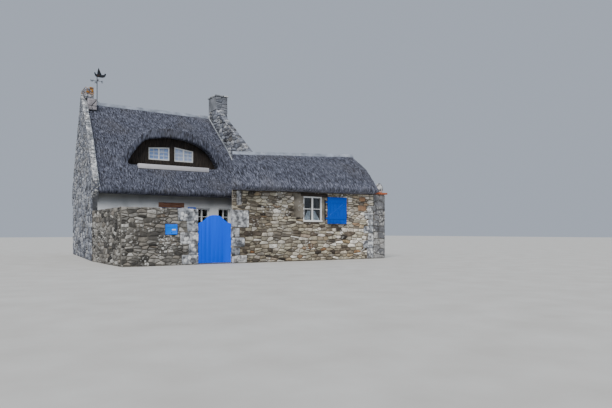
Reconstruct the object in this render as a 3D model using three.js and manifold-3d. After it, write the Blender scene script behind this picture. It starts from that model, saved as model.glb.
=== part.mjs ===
// A thatched stone cottage: a main range under a thatched roof with an eyebrow dormer, a low
// thatched front wing with one shuttered window, and a walled courtyard with a blue garden gate.
// Units are millimetres and +Z is up. The pieces are drawn from the wing's front left corner:
// X runs along the street, Y runs back from it. The last lines move the origin to the middle of
// the footprint, at ground level.
import * as THREE from "three";
import { mergeVertices } from "three/addons/utils/BufferGeometryUtils.js";
import Module from "manifold-3d";

const wasm = await Module();
wasm.setup();

// Driving dimensions

const GAP = 0.3; // left between faces that are cut to fit each other
const FAR = 20000; // longer than the whole object, for cutting shapes

// Main range: walls between the two gables, with one thatched slope each side of the ridge. The
// left gable runs slanting, so left is its inner face at the ridge.
const MAIN = { left: -2751, right: 2290, front: 3580, back: 10360, wall: 500 };
const MAIN_ROOF = {
  ridgeY: 6970,
  ridgeZ: 5930,
  thick: 480, // at the ridge and the eave, measured straight down through the thatch
  belly: [4900, 4120], // the slope is fullest here
  tip: [3250, 2250],
  lip: [3225, 2370],
  shoulder: [3330, 2480],
};
const GABLE = { thick: 190, leaf: 240, slant: 0.1, parapet: 250, coping: 60, kneelerZ: 1950 };
const PARTY = { thick: 600, toe: 2600, front: 2950, verge: 3750, top: 6140, toeZ: 2050 };
const PARAPET = { thick: 250, above: 80 }; // the party wall over the thatch on the left and right
const UPPER_FLOOR = { z: 2300, thick: 150 };
const FLOOR = 100; // ground floors

// Chimneys
const RIGHT_STACK = { wide: 540, y0: 6180, y1: 6970, top: 6700, cap: 60, capOver: 30, flue: 240 };
const LEFT_STACK = { x0: -2850, x1: -2540, y0: 6550, y1: 7400, z0: 6000, top: 6450, flue: 150 };
const LEFT_BASE = { x1: -2450, y0: 6450, y1: 7500, z0: 5560 };

// Eyebrow dormer in the main front slope
const DORMER = {
  lipY: 4250, // front edge of the thatch hood
  hoodRise: 0.1, // the hood climbs this much for each unit back
  hoodBack: 6000,
  faceY: 4560,
  faceThick: 100,
  sillZ: 3330,
  clear: 4, // between the boarded face and the arch above it
};
const DORMER_LEFT = { x0: -1090, x1: -300, z0: 3600, z1: 4040, z2: 4100 };
const DORMER_RIGHT = { x0: -120, x1: 630, z0: 3590, z1: 4130, z2: 4030 };
const LEDGE = { x0: -1620, x1: 1030, y0: 4005, y1: 4150, z0: 3200, z1: 3365 };

// Openings of the main front wall and the back wall
const DOOR = { x0: -950, x1: -200, top: 1830, leaf: 45, setBack: 120 };
const DOOR_LINTEL = { x0: -1050, x1: -110, high: 170, deep: 300 };
const WINDOW_A = { x0: 340, x1: 880, z0: 950, z1: 1830 };
const WINDOW_B = { x0: 1220, x1: 1720, z0: 950, z1: 1830 };
const BACK_WINDOW = { x0: -700, x1: 200, z0: 950, z1: 1830 };
const WINDOW = { setBack: 120, deep: 60, rail: 45, glass: 6 };
const CURTAIN = { thick: 24, high: 330 }; // cloth hung close behind the glass

// Front wing
const WING = { start: 35, length: 5700, depth: 2600, wall: 400, slant: 0.5125 };
const WING_ROOF = {
  ridgeY: 1300,
  ridgeZ: 3542,
  thick: 363,
  belly: [380, 3041],
  tip: [-300, 2290],
  lip: [-330, 2368],
  shoulder: [-240, 2437],
};
const SAG = { eave: 0.013, ridge: 0.055, steps: 12 }; // its rise for each unit to the right
const WING_WINDOW = { x0: 2650, x1: 3410, z0: 1300, z1: 2150 };
const WING_SILL = { high: 60, proud: 20 };
const WING_LINTEL = { x0: 2550, x1: 3640, top: 2255 };
const PIER = { x1: 6250, deep: 450, top: 2335 };
const PIER_TILE = { x0: 5930, x1: 6330, y0: -30, y1: 420, thick: 65 };
const PIER_STONE = { x: 6100, y: 185, rx: 175, ry: 145, high: 375, seat: 0.4 };

// Garden wall, gate and letter box
const GARDEN = { end: -1050, deep: 450, high: 1660, side: 400 };
const LETTER_BOX = { x0: -2040, x1: -1700, z0: 890, z1: 1185, deep: 220, proud: 14 };
const GATE = { x0: -1040, x1: 28, y0: 50, thick: 40, foot: 40, shoulder: 1215, crown: 1468 };
const GATE_ARCH = { shoulder: 170, rise: 75, crown: 190, drop: 40, steps: 24 }; // along the top edge
const GATE_PIN = { x: -1018, y: 118, r: 9, ring: 16, high: 60, zs: [300, 1060] };
const GATE_STRAP = { from: 6, past: 250, web: 16, ring: 12 }; // from the leaf's edge, past its middle
const GATE_BAR = { thick: 6, y0: 100, y1: 140, z0: 220, z1: 1180, armY: [106, 130] };

// Blue shutter of the wing window, open against the wall
const SHUTTER = { x0: 3600, x1: 4400, z0: 1240, z1: 2150, y0: -70, thick: 30, rail: 100, proud: 12 };
const SHUTTER_LEDGE = { low: 160, high: 90 }; // from the leaf's foot and head
const SHUTTER_PIN = { x: 3530, y: -62, r: 8, ring: 14, high: 45, zs: [1400, 1950] };
const SHUTTER_STRAP = { short: 120, inset: 30 }; // inside the leaf's edges
const SHUTTER_BAR = { half: 22, thick: 6, z0: 1340, z1: 2050, arm: 11, armY: 10 };
const SHUTTER_STOP = { from: 15, to: 65, deep: 60, z0: 190, z1: 225 }; // off the leaf's edge and foot
const STRAP = 5; // thickness of the hinge straps

// Weather vane on the main ridge
const VANE = { x: -2340, foot: 55, mast: 14, armZ: 6810, arm: 190, armR: 7, pin: 6, boatZ: 6960 };
const RIDGE_CAP = { half: 120, crown: 50, thick: 55, bed: 30 };
const FILLET = { wide: 40, high: 50 }; // mortar along the verges

const RUN_FIT = 0.3; // clearance round a pin
const THRUST = 0.5; // clearance under a knuckle

// Colours and finishes, as [colour, roughness, metalness]

const FINISH = {
  thatch: ["#5d5b66", 1.0, 0.0],
  mortar: ["#a7a49f", 0.95, 0.0],
  rubble: ["#8d8273", 0.95, 0.0],
  dressed: ["#b3aca2", 0.9, 0.0],
  render: ["#dcdad4", 0.9, 0.0],
  brick: ["#b5603c", 0.9, 0.0],
  bluePaint: ["#0a68d8", 0.5, 0.0],
  whitePaint: ["#e8e8e4", 0.5, 0.0],
  darkTimber: ["#3f2d20", 0.85, 0.0],
  redTimber: ["#6a4433", 0.85, 0.0],
  boards: ["#9a7c58", 0.8, 0.0],
  glass: ["#2b3138", 0.08, 0.0],
  iron: ["#1d2126", 0.6, 0.7],
  cloth: ["#f2f1ec", 0.9, 0.0],
};

// Helpers

// A closed geometry becomes a solid that can be joined and cut.
function solid(geometry) {
  const bare = geometry.index ? geometry.toNonIndexed() : geometry.clone();
  for (const name of Object.keys(bare.attributes)) {
    if (name !== "position") bare.deleteAttribute(name);
  }
  const merged = mergeVertices(bare, 1e-3);
  return new wasm.Manifold(
    new wasm.Mesh({
      numProp: 3,
      vertProperties: new Float32Array(merged.attributes.position.array),
      triVerts: new Uint32Array(merged.index.array),
    }),
  );
}

function geometryOf(body) {
  const mesh = body.getMesh();
  const stride = mesh.numProp;
  const points = new Float32Array(mesh.numVert * 3);
  for (let i = 0; i < mesh.numVert; i++) {
    points.set(mesh.vertProperties.subarray(i * stride, i * stride + 3), i * 3);
  }
  const geometry = new THREE.BufferGeometry();
  geometry.setAttribute("position", new THREE.BufferAttribute(points, 3));
  geometry.setIndex(new THREE.BufferAttribute(new Uint32Array(mesh.triVerts), 1));
  geometry.computeVertexNormals();
  return geometry;
}

const cottage = new THREE.Group();
cottage.name = "thatched_cottage";

function piece(name, shape, finish) {
  const [color, roughness, metalness] = FINISH[finish];
  const material = new THREE.MeshStandardMaterial({ color, roughness, metalness });
  const geometry = shape.isBufferGeometry ? shape : geometryOf(shape);
  const mesh = new THREE.Mesh(geometry, material);
  mesh.name = name;
  cottage.add(mesh);
  return mesh;
}

function box(x0, x1, y0, y1, z0, z1) {
  const geometry = new THREE.BoxGeometry(x1 - x0, y1 - y0, z1 - z0);
  return geometry.translate((x0 + x1) / 2, (y0 + y1) / 2, (z0 + z1) / 2);
}

function extrude(points, depth, steps = 1) {
  const shape = new THREE.Shape(points.map(([u, v]) => new THREE.Vector2(u, v)));
  return new THREE.ExtrudeGeometry(shape, { depth, steps, bevelEnabled: false });
}

// An outline of (y, z) points, run from x0 to x1
function alongX(points, x0, x1, steps = 1) {
  const turn = new THREE.Matrix4().makeBasis(
    new THREE.Vector3(0, 1, 0),
    new THREE.Vector3(0, 0, 1),
    new THREE.Vector3(1, 0, 0),
  );
  return extrude(points, x1 - x0, steps).applyMatrix4(turn).translate(x0, 0, 0);
}

// An outline of (x, z) points, run from y0 to y1
function alongY(points, y0, y1) {
  const turn = new THREE.Matrix4().makeBasis(
    new THREE.Vector3(1, 0, 0),
    new THREE.Vector3(0, 0, 1),
    new THREE.Vector3(0, -1, 0),
  );
  return extrude(points, y1 - y0).applyMatrix4(turn).translate(0, y1, 0);
}

// An outline of (x, y) points, run from z0 to z1
function alongZ(points, z0, z1) {
  return extrude(points, z1 - z0).translate(0, 0, z0);
}

function rod(x, y, z0, z1, radius, sides = 16) {
  const geometry = new THREE.CylinderGeometry(radius, radius, z1 - z0, sides);
  return geometry.rotateX(Math.PI / 2).translate(x, y, (z0 + z1) / 2);
}

function rectangle(x0, x1, z0, z1) {
  return [
    [x0, z0],
    [x1, z0],
    [x1, z1],
    [x0, z1],
  ];
}

function mirrorY(points, middle) {
  return points.map(([y, z]) => [2 * middle - y, z]).reverse();
}

function joined(...bodies) {
  return bodies.reduce((all, body) => all.add(body));
}

// A flat plate with an (x, z) outline, run from y0 to y1, with holes of like outlines cut through
function pierced(points, holes, y0, y1) {
  const cuts = holes.map((hole) => solid(alongY(hole, y0 - 1, y1 + 1)));
  return cuts.reduce((rest, cut) => rest.subtract(cut), solid(alongY(points, y0, y1)));
}

// Roof lines

// Height at y of a straight line from the ridge through a point of the roof, on either slope
function ridgeLine(roof, [throughY, throughZ], y) {
  const pitch = (roof.ridgeZ - throughZ) / (roof.ridgeY - throughY);
  return roof.ridgeZ - pitch * Math.abs(roof.ridgeY - y);
}

// Height of a roof's outer surface at y
function roofTop(roof, y) {
  const [bellyY, bellyZ] = roof.belly;
  const [shoulderY, shoulderZ] = roof.shoulder;
  const run = Math.abs(roof.ridgeY - y);
  const below = run - (roof.ridgeY - bellyY);
  if (below <= 0) return ridgeLine(roof, roof.belly, y);
  return bellyZ - (below * (bellyZ - shoulderZ)) / (bellyY - shoulderY);
}

// The rafters run straight, so the underside has no belly
function roofUnder(roof, y) {
  return ridgeLine(roof, roof.shoulder, y) - roof.thick;
}

// One slope of thatch as a (y, z) outline, from the wall's outer face to the ridge
function slopeOutline(roof, wallY) {
  return [
    roof.tip,
    [wallY, roofUnder(roof, wallY)],
    [roof.ridgeY, roof.ridgeZ - roof.thick],
    [roof.ridgeY, roof.ridgeZ],
    roof.belly,
    roof.shoulder,
    roof.lip,
  ];
}

// A strip that lies on both slopes of a roof, between two heights above the thatch
function saddle(roof, from, low, high) {
  const [bellyY] = roof.belly;
  const back = 2 * roof.ridgeY;
  const line = [from, bellyY, roof.ridgeY, back - bellyY, back - from];
  const edge = (rise) => line.map((y) => [y, roofTop(roof, y) + rise]);
  return [...edge(low), ...edge(high).reverse()];
}

// A wall's (y, z) outline whose top fits under a slope
function underSlope(roof, y0, y1) {
  return [
    [y0, 0],
    [y1, 0],
    [y1, roofUnder(roof, y1) - GAP],
    [y0, roofUnder(roof, y0) - GAP],
  ];
}

// Windows

// A frame with two lights, standing in its opening
function frameOf({ x0, x1, z0, z1 }, y0, y1) {
  const rail = WINDOW.rail;
  const middle = (x0 + x1) / 2;
  const lights = [
    rectangle(x0 + rail, middle - rail / 2, z0 + rail, z1 - rail),
    rectangle(middle + rail / 2, x1 - rail, z0 + rail, z1 - rail),
  ];
  return pierced(rectangle(x0 + GAP, x1 - GAP, z0 + GAP, z1 - GAP), lights, y0, y1);
}

// A sheet of glass against the back of its frame
function glassOf({ x0, x1, z0, z1 }, y) {
  return box(x0 + 5, x1 - 5, y, y + WINDOW.glass, z0 + 5, z1 - 5);
}

function windowPair(name, opening, y) {
  const back = y + WINDOW.deep;
  piece(name + "_frame", frameOf(opening, y, back), "whitePaint");
  piece(name + "_glass", glassOf(opening, back), "glass");
}

function hole({ x0, x1, z0, z1 }, y0, y1) {
  return solid(box(x0, x1, y0, y1, z0, z1));
}

// The slanting left gable

// How far to the right of MAIN.left its inner face is at y
function gableShift(y) {
  return GABLE.slant * (y - MAIN_ROOF.ridgeY);
}

// Leans a shape that was drawn square to the street
function slanting(geometry) {
  const k = GABLE.slant;
  const shear = new THREE.Matrix4().set(
    ...[1, k, 0, -k * MAIN_ROOF.ridgeY],
    ...[0, 1, 0, 0],
    ...[0, 0, 1, 0],
    ...[0, 0, 0, 1],
  );
  return geometry.applyMatrix4(shear);
}

// A shape of the main range, drawn past the gable, ends at the gable's inner face
function upToGable(body) {
  const from = WING_ROOF.lip[0];
  const to = MAIN.back + MAIN.front;
  const face = (y) => MAIN.left + gableShift(y) + GAP;
  const wedge = [
    [-FAR, from],
    [face(from), from],
    [face(to), to],
    [-FAR, to],
  ];
  return body.subtract(solid(alongZ(wedge, -FAR, FAR)));
}

const PAST_GABLE = MAIN.left - 1000;

// The thatch laps over the wall's inner leaf, so only the outer leaf stands above the roof
function gableLeaf(grow) {
  const y0 = MAIN.front + MAIN.wall + GAP - grow;
  const y1 = 2 * MAIN_ROOF.ridgeY - y0;
  const top = (y) => roofUnder(MAIN_ROOF, y) - GAP + grow;
  const outline = [
    [y0, 0],
    [y1, 0],
    [y1, top(y1)],
    [MAIN_ROOF.ridgeY, top(MAIN_ROOF.ridgeY)],
    [y0, top(y0)],
  ];
  return solid(slanting(alongX(outline, MAIN.left - 1, MAIN.left + GABLE.leaf + grow)));
}

// Main range

function mainWalls() {
  const { right, front, back, wall } = MAIN;
  const left = PAST_GABLE;
  const frontTop = alongX(underSlope(MAIN_ROOF, front, front + wall), left, right);
  const doorway = box(DOOR.x0, DOOR.x1, front - 10, front + wall + 10, -10, DOOR.top);
  const lintelZ = DOOR.top + DOOR_LINTEL.high;
  const pocket = box(
    DOOR_LINTEL.x0 - GAP,
    DOOR_LINTEL.x1 + GAP,
    front - 10,
    front + DOOR_LINTEL.deep + GAP,
    DOOR.top - GAP,
    lintelZ + GAP,
  );
  const frontWall = solid(frontTop)
    .subtract(solid(doorway))
    .subtract(solid(pocket))
    .subtract(hole(WINDOW_A, front - 10, front + wall + 10))
    .subtract(hole(WINDOW_B, front - 10, front + wall + 10));
  piece("main_front_wall", upToGable(frontWall), "render");

  const lintel = box(
    DOOR_LINTEL.x0,
    DOOR_LINTEL.x1,
    front,
    front + DOOR_LINTEL.deep,
    DOOR.top,
    lintelZ,
  );
  piece("main_door_lintel", lintel, "redTimber");
  const doorY = front + DOOR.setBack;
  const door = box(DOOR.x0 + GAP, DOOR.x1 - GAP, doorY, doorY + DOOR.leaf, 0, DOOR.top - GAP);
  piece("main_door", door, "bluePaint");
  windowPair("main_window_a", WINDOW_A, front + WINDOW.setBack);
  windowPair("main_window_b", WINDOW_B, front + WINDOW.setBack);
  piece("main_shutter", box(20, 330, front - 35, front, 930, 1850), "bluePaint");

  const backOutline = mirrorY(underSlope(MAIN_ROOF, front, front + wall), MAIN_ROOF.ridgeY);
  const backWall = solid(alongX(backOutline, left, right)).subtract(
    hole(BACK_WINDOW, back - wall - 10, back + 10),
  );
  piece("main_back_wall", upToGable(backWall), "render");
  windowPair("main_back_window", BACK_WINDOW, back - WINDOW.setBack - WINDOW.deep);

  const inside = [front + wall, back - wall];
  const ground = solid(box(left, right, ...inside, 0, FLOOR));
  const leaf = gableLeaf(GAP);
  piece("main_ground_floor", upToGable(ground).subtract(leaf), "dressed");
  const upperZ = UPPER_FLOOR.z + UPPER_FLOOR.thick;
  const upper = solid(box(left, right, ...inside, UPPER_FLOOR.z, upperZ));
  piece("main_upper_floor", upToGable(upper).subtract(leaf), "boards");
}

function leftChimneyBox(grow) {
  const s = LEFT_STACK;
  return box(s.x0 - grow, s.x1 + grow, s.y0 - grow, s.y1 + grow, s.z0 - grow, s.top);
}

function leftBaseBox(grow) {
  const b = LEFT_BASE;
  return box(PAST_GABLE, b.x1 + grow, b.y0 - grow, b.y1 + grow, b.z0 - grow, LEFT_STACK.z0);
}

function leftGable() {
  const { front, left } = MAIN;
  const roof = MAIN_ROOF;
  const outer = left - GABLE.thick;
  const noseY = roof.lip[0];
  const half = [
    [front, 0],
    [front, GABLE.kneelerZ],
    [noseY, roof.tip[1]],
    [noseY, roofTop(roof, noseY) + GABLE.parapet],
    [roof.belly[0], roof.belly[1] + GABLE.parapet],
  ];
  const ridge = [[roof.ridgeY, roof.ridgeZ + GABLE.parapet]];
  const outlineYZ = [...half, ...ridge, ...mirrorY(half, roof.ridgeY)].reverse();
  const cut = solid(leftChimneyBox(GAP));
  const wall = solid(slanting(alongX(outlineYZ, outer, left))).add(gableLeaf(0));
  piece("left_gable_wall", wall.subtract(cut), "rubble");

  const low = GABLE.parapet + GAP;
  const strip = saddle(roof, noseY, low, low + GABLE.coping);
  const coping = solid(slanting(alongX(strip, outer, left)));
  piece("left_gable_coping", coping.subtract(cut), "dressed");
}

function chimneys() {
  const right = RIGHT_STACK;
  const x0 = MAIN.right;
  const x1 = x0 + right.wide;
  const midX = (x0 + x1) / 2;
  const midY = (right.y0 + right.y1) / 2;
  const half = right.flue / 2;
  const flueFoot = PARTY.top + 80;
  const flue = box(midX - half, midX + half, midY - half, midY + half, flueFoot, right.top + FAR);
  const stack = solid(box(x0, x1, right.y0, right.y1, PARTY.top, right.top)).subtract(solid(flue));
  piece("right_chimney", stack, "rubble");
  const over = right.capOver;
  const cap = box(
    x0 - over,
    x1 + over,
    right.y0 - over,
    right.y1 + over,
    right.top,
    right.top + right.cap,
  );
  piece("right_chimney_cap", solid(cap).subtract(solid(flue)), "dressed");

  const left = LEFT_STACK;
  const lx = (left.x0 + left.x1) / 2;
  const ly = (left.y0 + left.y1) / 2;
  const r = left.flue / 2;
  const leftFlue = box(lx - r, lx + r, ly - r, ly + r, left.z0 + 100, left.top + FAR);
  piece("left_chimney", solid(leftChimneyBox(0)).subtract(solid(leftFlue)), "rubble");
  piece("left_chimney_base", upToGable(solid(leftBaseBox(0))), "dressed");
}

function partyWall() {
  const { toe, front, verge, top, toeZ, thick } = PARTY;
  const { ridgeY, belly } = MAIN_ROOF;
  const { y0, y1, wide } = RIGHT_STACK;
  const above = (y) => [y, roofTop(MAIN_ROOF, y) + PARAPET.above];
  const x = MAIN.right;
  const foot = [
    [toe, toeZ],
    [toe, 0],
    [MAIN.back, 0],
  ];
  const back = [above(MAIN.back), above(2 * ridgeY - belly[0])];
  const low = [...foot, ...back, above(ridgeY), above(belly[0]), above(front)];
  const high = [...foot, ...back, above(y1), [y1, top], [y0, top], [front, verge], [front, toeZ]];
  const wall = joined(
    solid(alongX(low, x, x + thick)),
    solid(alongX(high, x, x + PARAPET.thick)),
    solid(box(x, x + wide, y0, y1, MAIN_ROOF.belly[1], top)),
  );
  piece("party_wall", wall, "rubble");
}

// Eyebrow dormer

function curve(points, steps) {
  const spline = new THREE.SplineCurve(points.map(([x, z]) => new THREE.Vector2(x, z)));
  return spline.getPoints(steps).map((p) => [p.x, p.y]);
}

// The opening's arch, seen from the front, as (x, z)
const ARCH = [
  [-1950, 3330],
  [-1750, 3700],
  [-1330, 4210],
  [-780, 4365],
  [-300, 4400],
  [250, 4350],
  [780, 4190],
  [1150, 3960],
  [1400, 3640],
  [1560, 3330],
];

// The outer surface of the hood over it
const HOOD = [
  [-2600, 3000],
  [-2250, 3500],
  [-1800, 4050],
  [-1350, 4500],
  [-800, 4690],
  [-300, 4730],
  [300, 4680],
  [850, 4510],
  [1350, 4190],
  [1750, 3700],
  [2200, 3000],
];
const HOOD_STEPS = 30;

// Lifts a shape towards the back, as the hood climbs
function climbing(geometry) {
  const k = DORMER.hoodRise;
  const shear = new THREE.Matrix4().set(1, 0, 0, 0, 0, 1, 0, 0, 0, k, 1, -k * DORMER.lipY, 0, 0, 0, 1);
  return geometry.applyMatrix4(shear);
}

function mainThatch() {
  const roof = MAIN_ROOF;
  const { right, front } = MAIN;
  const left = PAST_GABLE;
  const section = slopeOutline(roof, front);
  const slope = solid(alongX(section, left, right));
  const above = [
    [front, roofUnder(roof, front)],
    [roof.ridgeY, roofUnder(roof, roof.ridgeY)],
    [roof.ridgeY, FAR],
    [front, FAR],
  ];
  const hoodRound = climbing(alongY(curve(HOOD, HOOD_STEPS), DORMER.lipY, DORMER.hoodBack));
  const hood = solid(hoodRound).intersect(solid(alongX(above, left, right)));
  const tunnel = climbing(alongY(curve(ARCH, HOOD_STEPS), front, DORMER.hoodBack - 50));
  const ledge = box(
    LEDGE.x0 - GAP,
    LEDGE.x1 + GAP,
    LEDGE.y0 - GAP,
    LEDGE.y1 + GAP,
    LEDGE.z0 - GAP,
    LEDGE.z1 + GAP,
  );
  const base = solid(leftBaseBox(GAP));
  const frontSlope = slope
    .add(hood)
    .subtract(solid(tunnel))
    .subtract(solid(ledge))
    .subtract(base);
  piece("main_thatch_front", upToGable(frontSlope), "thatch");

  const backSection = mirrorY(section, roof.ridgeY);
  const backSlope = solid(alongX(backSection, left, right)).subtract(base);
  piece("main_thatch_back", upToGable(backSlope), "thatch");

  const cap = ridgeCap(roof);
  piece("main_ridge_cap", alongX(cap, LEFT_BASE.x1 + GAP, right - FILLET.wide - GAP), "mortar");
  const reach = roof.lip[0] + 60;
  const strip = saddle(roof, reach, GAP, FILLET.high);
  piece("party_wall_fillet", alongX(strip, right - FILLET.wide, right), "mortar");
  const beside = MAIN.left + GAP;
  const cutByBase = solid(slanting(alongX(strip, beside, beside + FILLET.wide))).subtract(base);
  const halves = cutByBase.decompose();
  halves.sort((a, b) => a.boundingBox().min[1] - b.boundingBox().min[1]);
  piece("left_fillet_front", halves[0], "mortar");
  piece("left_fillet_back", halves[halves.length - 1], "mortar");
}

// The mortar band along a ridge, as a (y, z) outline whose bed lies lower than the thatch by sunk
function ridgeCap(roof, sunk = 0) {
  const { half, crown, thick } = RIDGE_CAP;
  const middle = roof.ridgeY;
  const low = roofTop(roof, middle - half) + GAP;
  return [
    [middle - half, low - sunk],
    [middle, roof.ridgeZ + GAP - sunk],
    [middle + half, low - sunk],
    [middle + half, low + thick / 2],
    [middle + crown, roof.ridgeZ + thick],
    [middle - crown, roof.ridgeZ + thick],
    [middle - half, low + thick / 2],
  ];
}

function dormerFront() {
  const { faceY, faceThick, sillZ, lipY, hoodRise } = DORMER;
  const back = faceY + faceThick;
  const foot = sillZ + hoodRise * (back - lipY) + GAP;
  const lift = hoodRise * (faceY - lipY) - DORMER.clear;
  const arch = curve(ARCH, HOOD_STEPS)
    .map(([x, z]) => [x, z + lift])
    .filter(([, z]) => z > foot + 40);
  const first = arch[0];
  const last = arch[arch.length - 1];
  const rounded = [[first[0], foot], ...arch, [last[0], foot]].reverse();
  const openings = [DORMER_LEFT, DORMER_RIGHT].map((light) => slanted(light, 0));
  piece("dormer_front", pierced(rounded, openings, faceY, back), "darkTimber");

  for (const [side, light] of Object.entries({ left: DORMER_LEFT, right: DORMER_RIGHT })) {
    const middle = (light.x0 + light.x1) / 2;
    const rail = WINDOW.rail;
    const casements = [
      slanted(light, rail, light.x0, middle + rail / 2),
      slanted(light, rail, middle - rail / 2, light.x1),
    ];
    const frame = pierced(slanted(light, GAP), casements, faceY + 25, faceY + 75);
    piece("dormer_window_" + side + "_frame", frame, "whitePaint");
  }
  const sheet = box(
    DORMER_LEFT.x0 - 20,
    DORMER_RIGHT.x1 + 20,
    back,
    back + WINDOW.glass,
    DORMER_RIGHT.z0 - 20,
    DORMER_RIGHT.z1 + 10,
  );
  piece("dormer_glass", sheet, "glass");
  const right = DORMER_RIGHT;
  const hung = back + WINDOW.glass + GAP;
  const cloth = box(right.x0, right.x1, hung, hung + CURTAIN.thick, right.z0 + 20, right.z1 - 20);
  piece("dormer_curtain", cloth, "cloth");
  piece("dormer_ledge", box(LEDGE.x0, LEDGE.x1, LEDGE.y0, LEDGE.y1, LEDGE.z0, LEDGE.z1), "whitePaint");
}

// A window's outline whose head slopes from z1 on the left to z2 on the right, drawn in by inset
function slanted(light, inset, left = light.x0, right = light.x1) {
  const slope = (light.z2 - light.z1) / (light.x1 - light.x0);
  const head = (x) => light.z1 + slope * (x - light.x0) - inset;
  const from = left + inset;
  const to = right - inset;
  return [
    [from, light.z0 + inset],
    [to, light.z0 + inset],
    [to, head(to)],
    [from, head(from)],
  ];
}

// Front wing

const PAST_WING = -1000;

// Everything to the left of the wing's slanted end, moved over by shift
function leftOfWing(shift) {
  const { slant } = WING;
  const from = PAST_WING;
  const to = WING.depth - PAST_WING;
  const wedge = [
    [-FAR, from],
    [slant * from + WING.start + shift, from],
    [slant * to + WING.start + shift, to],
    [-FAR, to],
  ];
  return solid(alongZ(wedge, -100, FAR));
}

// A (y, z) outline of the wing's roof, run along the wing and lifted more and more towards the
// right, most at the ridge
function sagging(points) {
  const { ridgeZ, tip } = WING_ROOF;
  const geometry = alongX(points, PAST_WING, WING.length, SAG.steps);
  const place = geometry.attributes.position;
  for (let i = 0; i < place.count; i++) {
    const share = (place.getZ(i) - tip[1]) / (ridgeZ - tip[1]);
    const rise = SAG.eave + share * (SAG.ridge - SAG.eave);
    place.setZ(i, place.getZ(i) + rise * place.getX(i));
  }
  return solid(geometry);
}

// The room under the wing's front slope, down to a depth, lowered by drop
function underWing(depth, drop) {
  const roof = WING_ROOF;
  const ridge = roofUnder(roof, roof.ridgeY);
  const outline = [
    [0, roofUnder(roof, 0)],
    [0, -depth],
    [roof.ridgeY, -depth],
    [roof.ridgeY, ridge],
  ];
  return sagging(outline).translate(0, 0, -drop);
}

function toBack(body) {
  return body.mirror([0, 1, 0]).translate(0, 2 * WING_ROOF.ridgeY, 0);
}

function wingWalls() {
  const { start, length, depth, wall, slant } = WING;
  const underFront = underWing(WING_ROOF.thick, GAP);
  const under = underFront.add(toBack(underFront));
  const lintel = box(
    WING_LINTEL.x0 - GAP,
    WING_LINTEL.x1 + GAP,
    -10,
    wall + 10,
    WING_WINDOW.z1,
    WING_LINTEL.top + GAP,
  );
  const frontWall = solid(box(PAST_WING, length, 0, wall, 0, WING_ROOF.ridgeZ))
    .intersect(under)
    .subtract(leftOfWing(0))
    .subtract(hole(WING_WINDOW, -10, wall + 10))
    .subtract(solid(lintel));
  piece("wing_front_wall", frontWall, "rubble");
  const beam = box(WING_LINTEL.x0, WING_LINTEL.x1, 0, wall, WING_WINDOW.z1 + GAP, WING_LINTEL.top);
  piece("wing_lintel", beam, "darkTimber");

  const backWall = solid(box(PAST_WING, length, depth - wall, depth, 0, WING_ROOF.ridgeZ))
    .intersect(under)
    .subtract(leftOfWing(0));
  piece("wing_back_wall", backWall, "rubble");

  const between = solid(box(PAST_WING, length, wall, depth - wall, 0, FAR)).intersect(under);
  const thick = wall * Math.hypot(1, slant);
  const leftWall = between.intersect(leftOfWing(thick)).subtract(leftOfWing(0));
  piece("wing_left_wall", leftWall, "rubble");
  const inner = solid(box(PAST_WING, length - wall, 0, depth, -1, FAR));
  piece("wing_right_wall", between.subtract(inner), "rubble");

  const inside = start + thick + GAP;
  const floorPlan = [
    [slant * wall + inside, wall],
    [length - wall, wall],
    [length - wall, depth - wall],
    [slant * (depth - wall) + inside, depth - wall],
  ];
  piece("wing_floor", alongZ(floorPlan, 0, FLOOR), "dressed");
}

function wingWindow() {
  const { x0, x1, z0 } = WING_WINDOW;
  const front = 20;
  const back = front + WINDOW.deep;
  const sill = box(x0 + GAP, x1 - GAP, -WING_SILL.proud, front + 10, z0 + GAP, z0 + WING_SILL.high);
  const frame = frameOf(WING_WINDOW, front, back).add(solid(sill));
  piece("wing_window_frame", frame, "whitePaint");
  piece("wing_window_glass", glassOf(WING_WINDOW, back), "glass");
  const hung = back + WINDOW.glass + GAP;
  const middle = (x0 + x1) / 2;
  const rail = WINDOW.rail;
  for (const [side, from, to] of [
    ["left", x0 + rail, middle - rail],
    ["right", middle + rail, x1 - rail],
  ]) {
    const foot = z0 + rail;
    const cloth = box(from, to, hung, hung + CURTAIN.thick, foot, foot + CURTAIN.high);
    piece("wing_curtain_" + side, cloth, "cloth");
  }
}

function wingThatch() {
  const roof = WING_ROOF;
  const cut = leftOfWing(-10);
  const slope = sagging(slopeOutline(roof, 0)).subtract(underWing(roof.thick, 0));
  const frontSlope = slope.subtract(cut);
  piece("wing_thatch_front", frontSlope, "thatch");
  const backSlope = toBack(slope).subtract(cut);
  piece("wing_thatch_back", backSlope, "thatch");
  const cap = sagging(ridgeCap(roof, RIDGE_CAP.bed))
    .subtract(cut)
    .subtract(frontSlope.translate(0, 0, GAP))
    .subtract(backSlope.translate(0, 0, GAP));
  piece("wing_ridge_cap", cap, "mortar");
}

function pier() {
  const tileTop = PIER.top + PIER_TILE.thick;
  piece("right_pier", box(WING.length, PIER.x1, 0, PIER.deep, 0, PIER.top), "dressed");
  const tile = box(PIER_TILE.x0, PIER_TILE.x1, PIER_TILE.y0, PIER_TILE.y1, PIER.top, tileTop);
  piece("pier_tile", tile, "brick");
  const { x, y, rx, ry, high, seat: sunk } = PIER_STONE;
  const boulder = new THREE.SphereGeometry(1, 14, 9).rotateX(Math.PI / 2);
  boulder.scale(rx, ry, high * (1 - sunk)).translate(x, y, tileTop + high * sunk);
  const seat = box(-FAR, FAR, -FAR, FAR, -FAR, tileTop);
  piece("pier_capstone", solid(boulder).subtract(solid(seat)), "dressed");
}

// Garden wall

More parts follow.
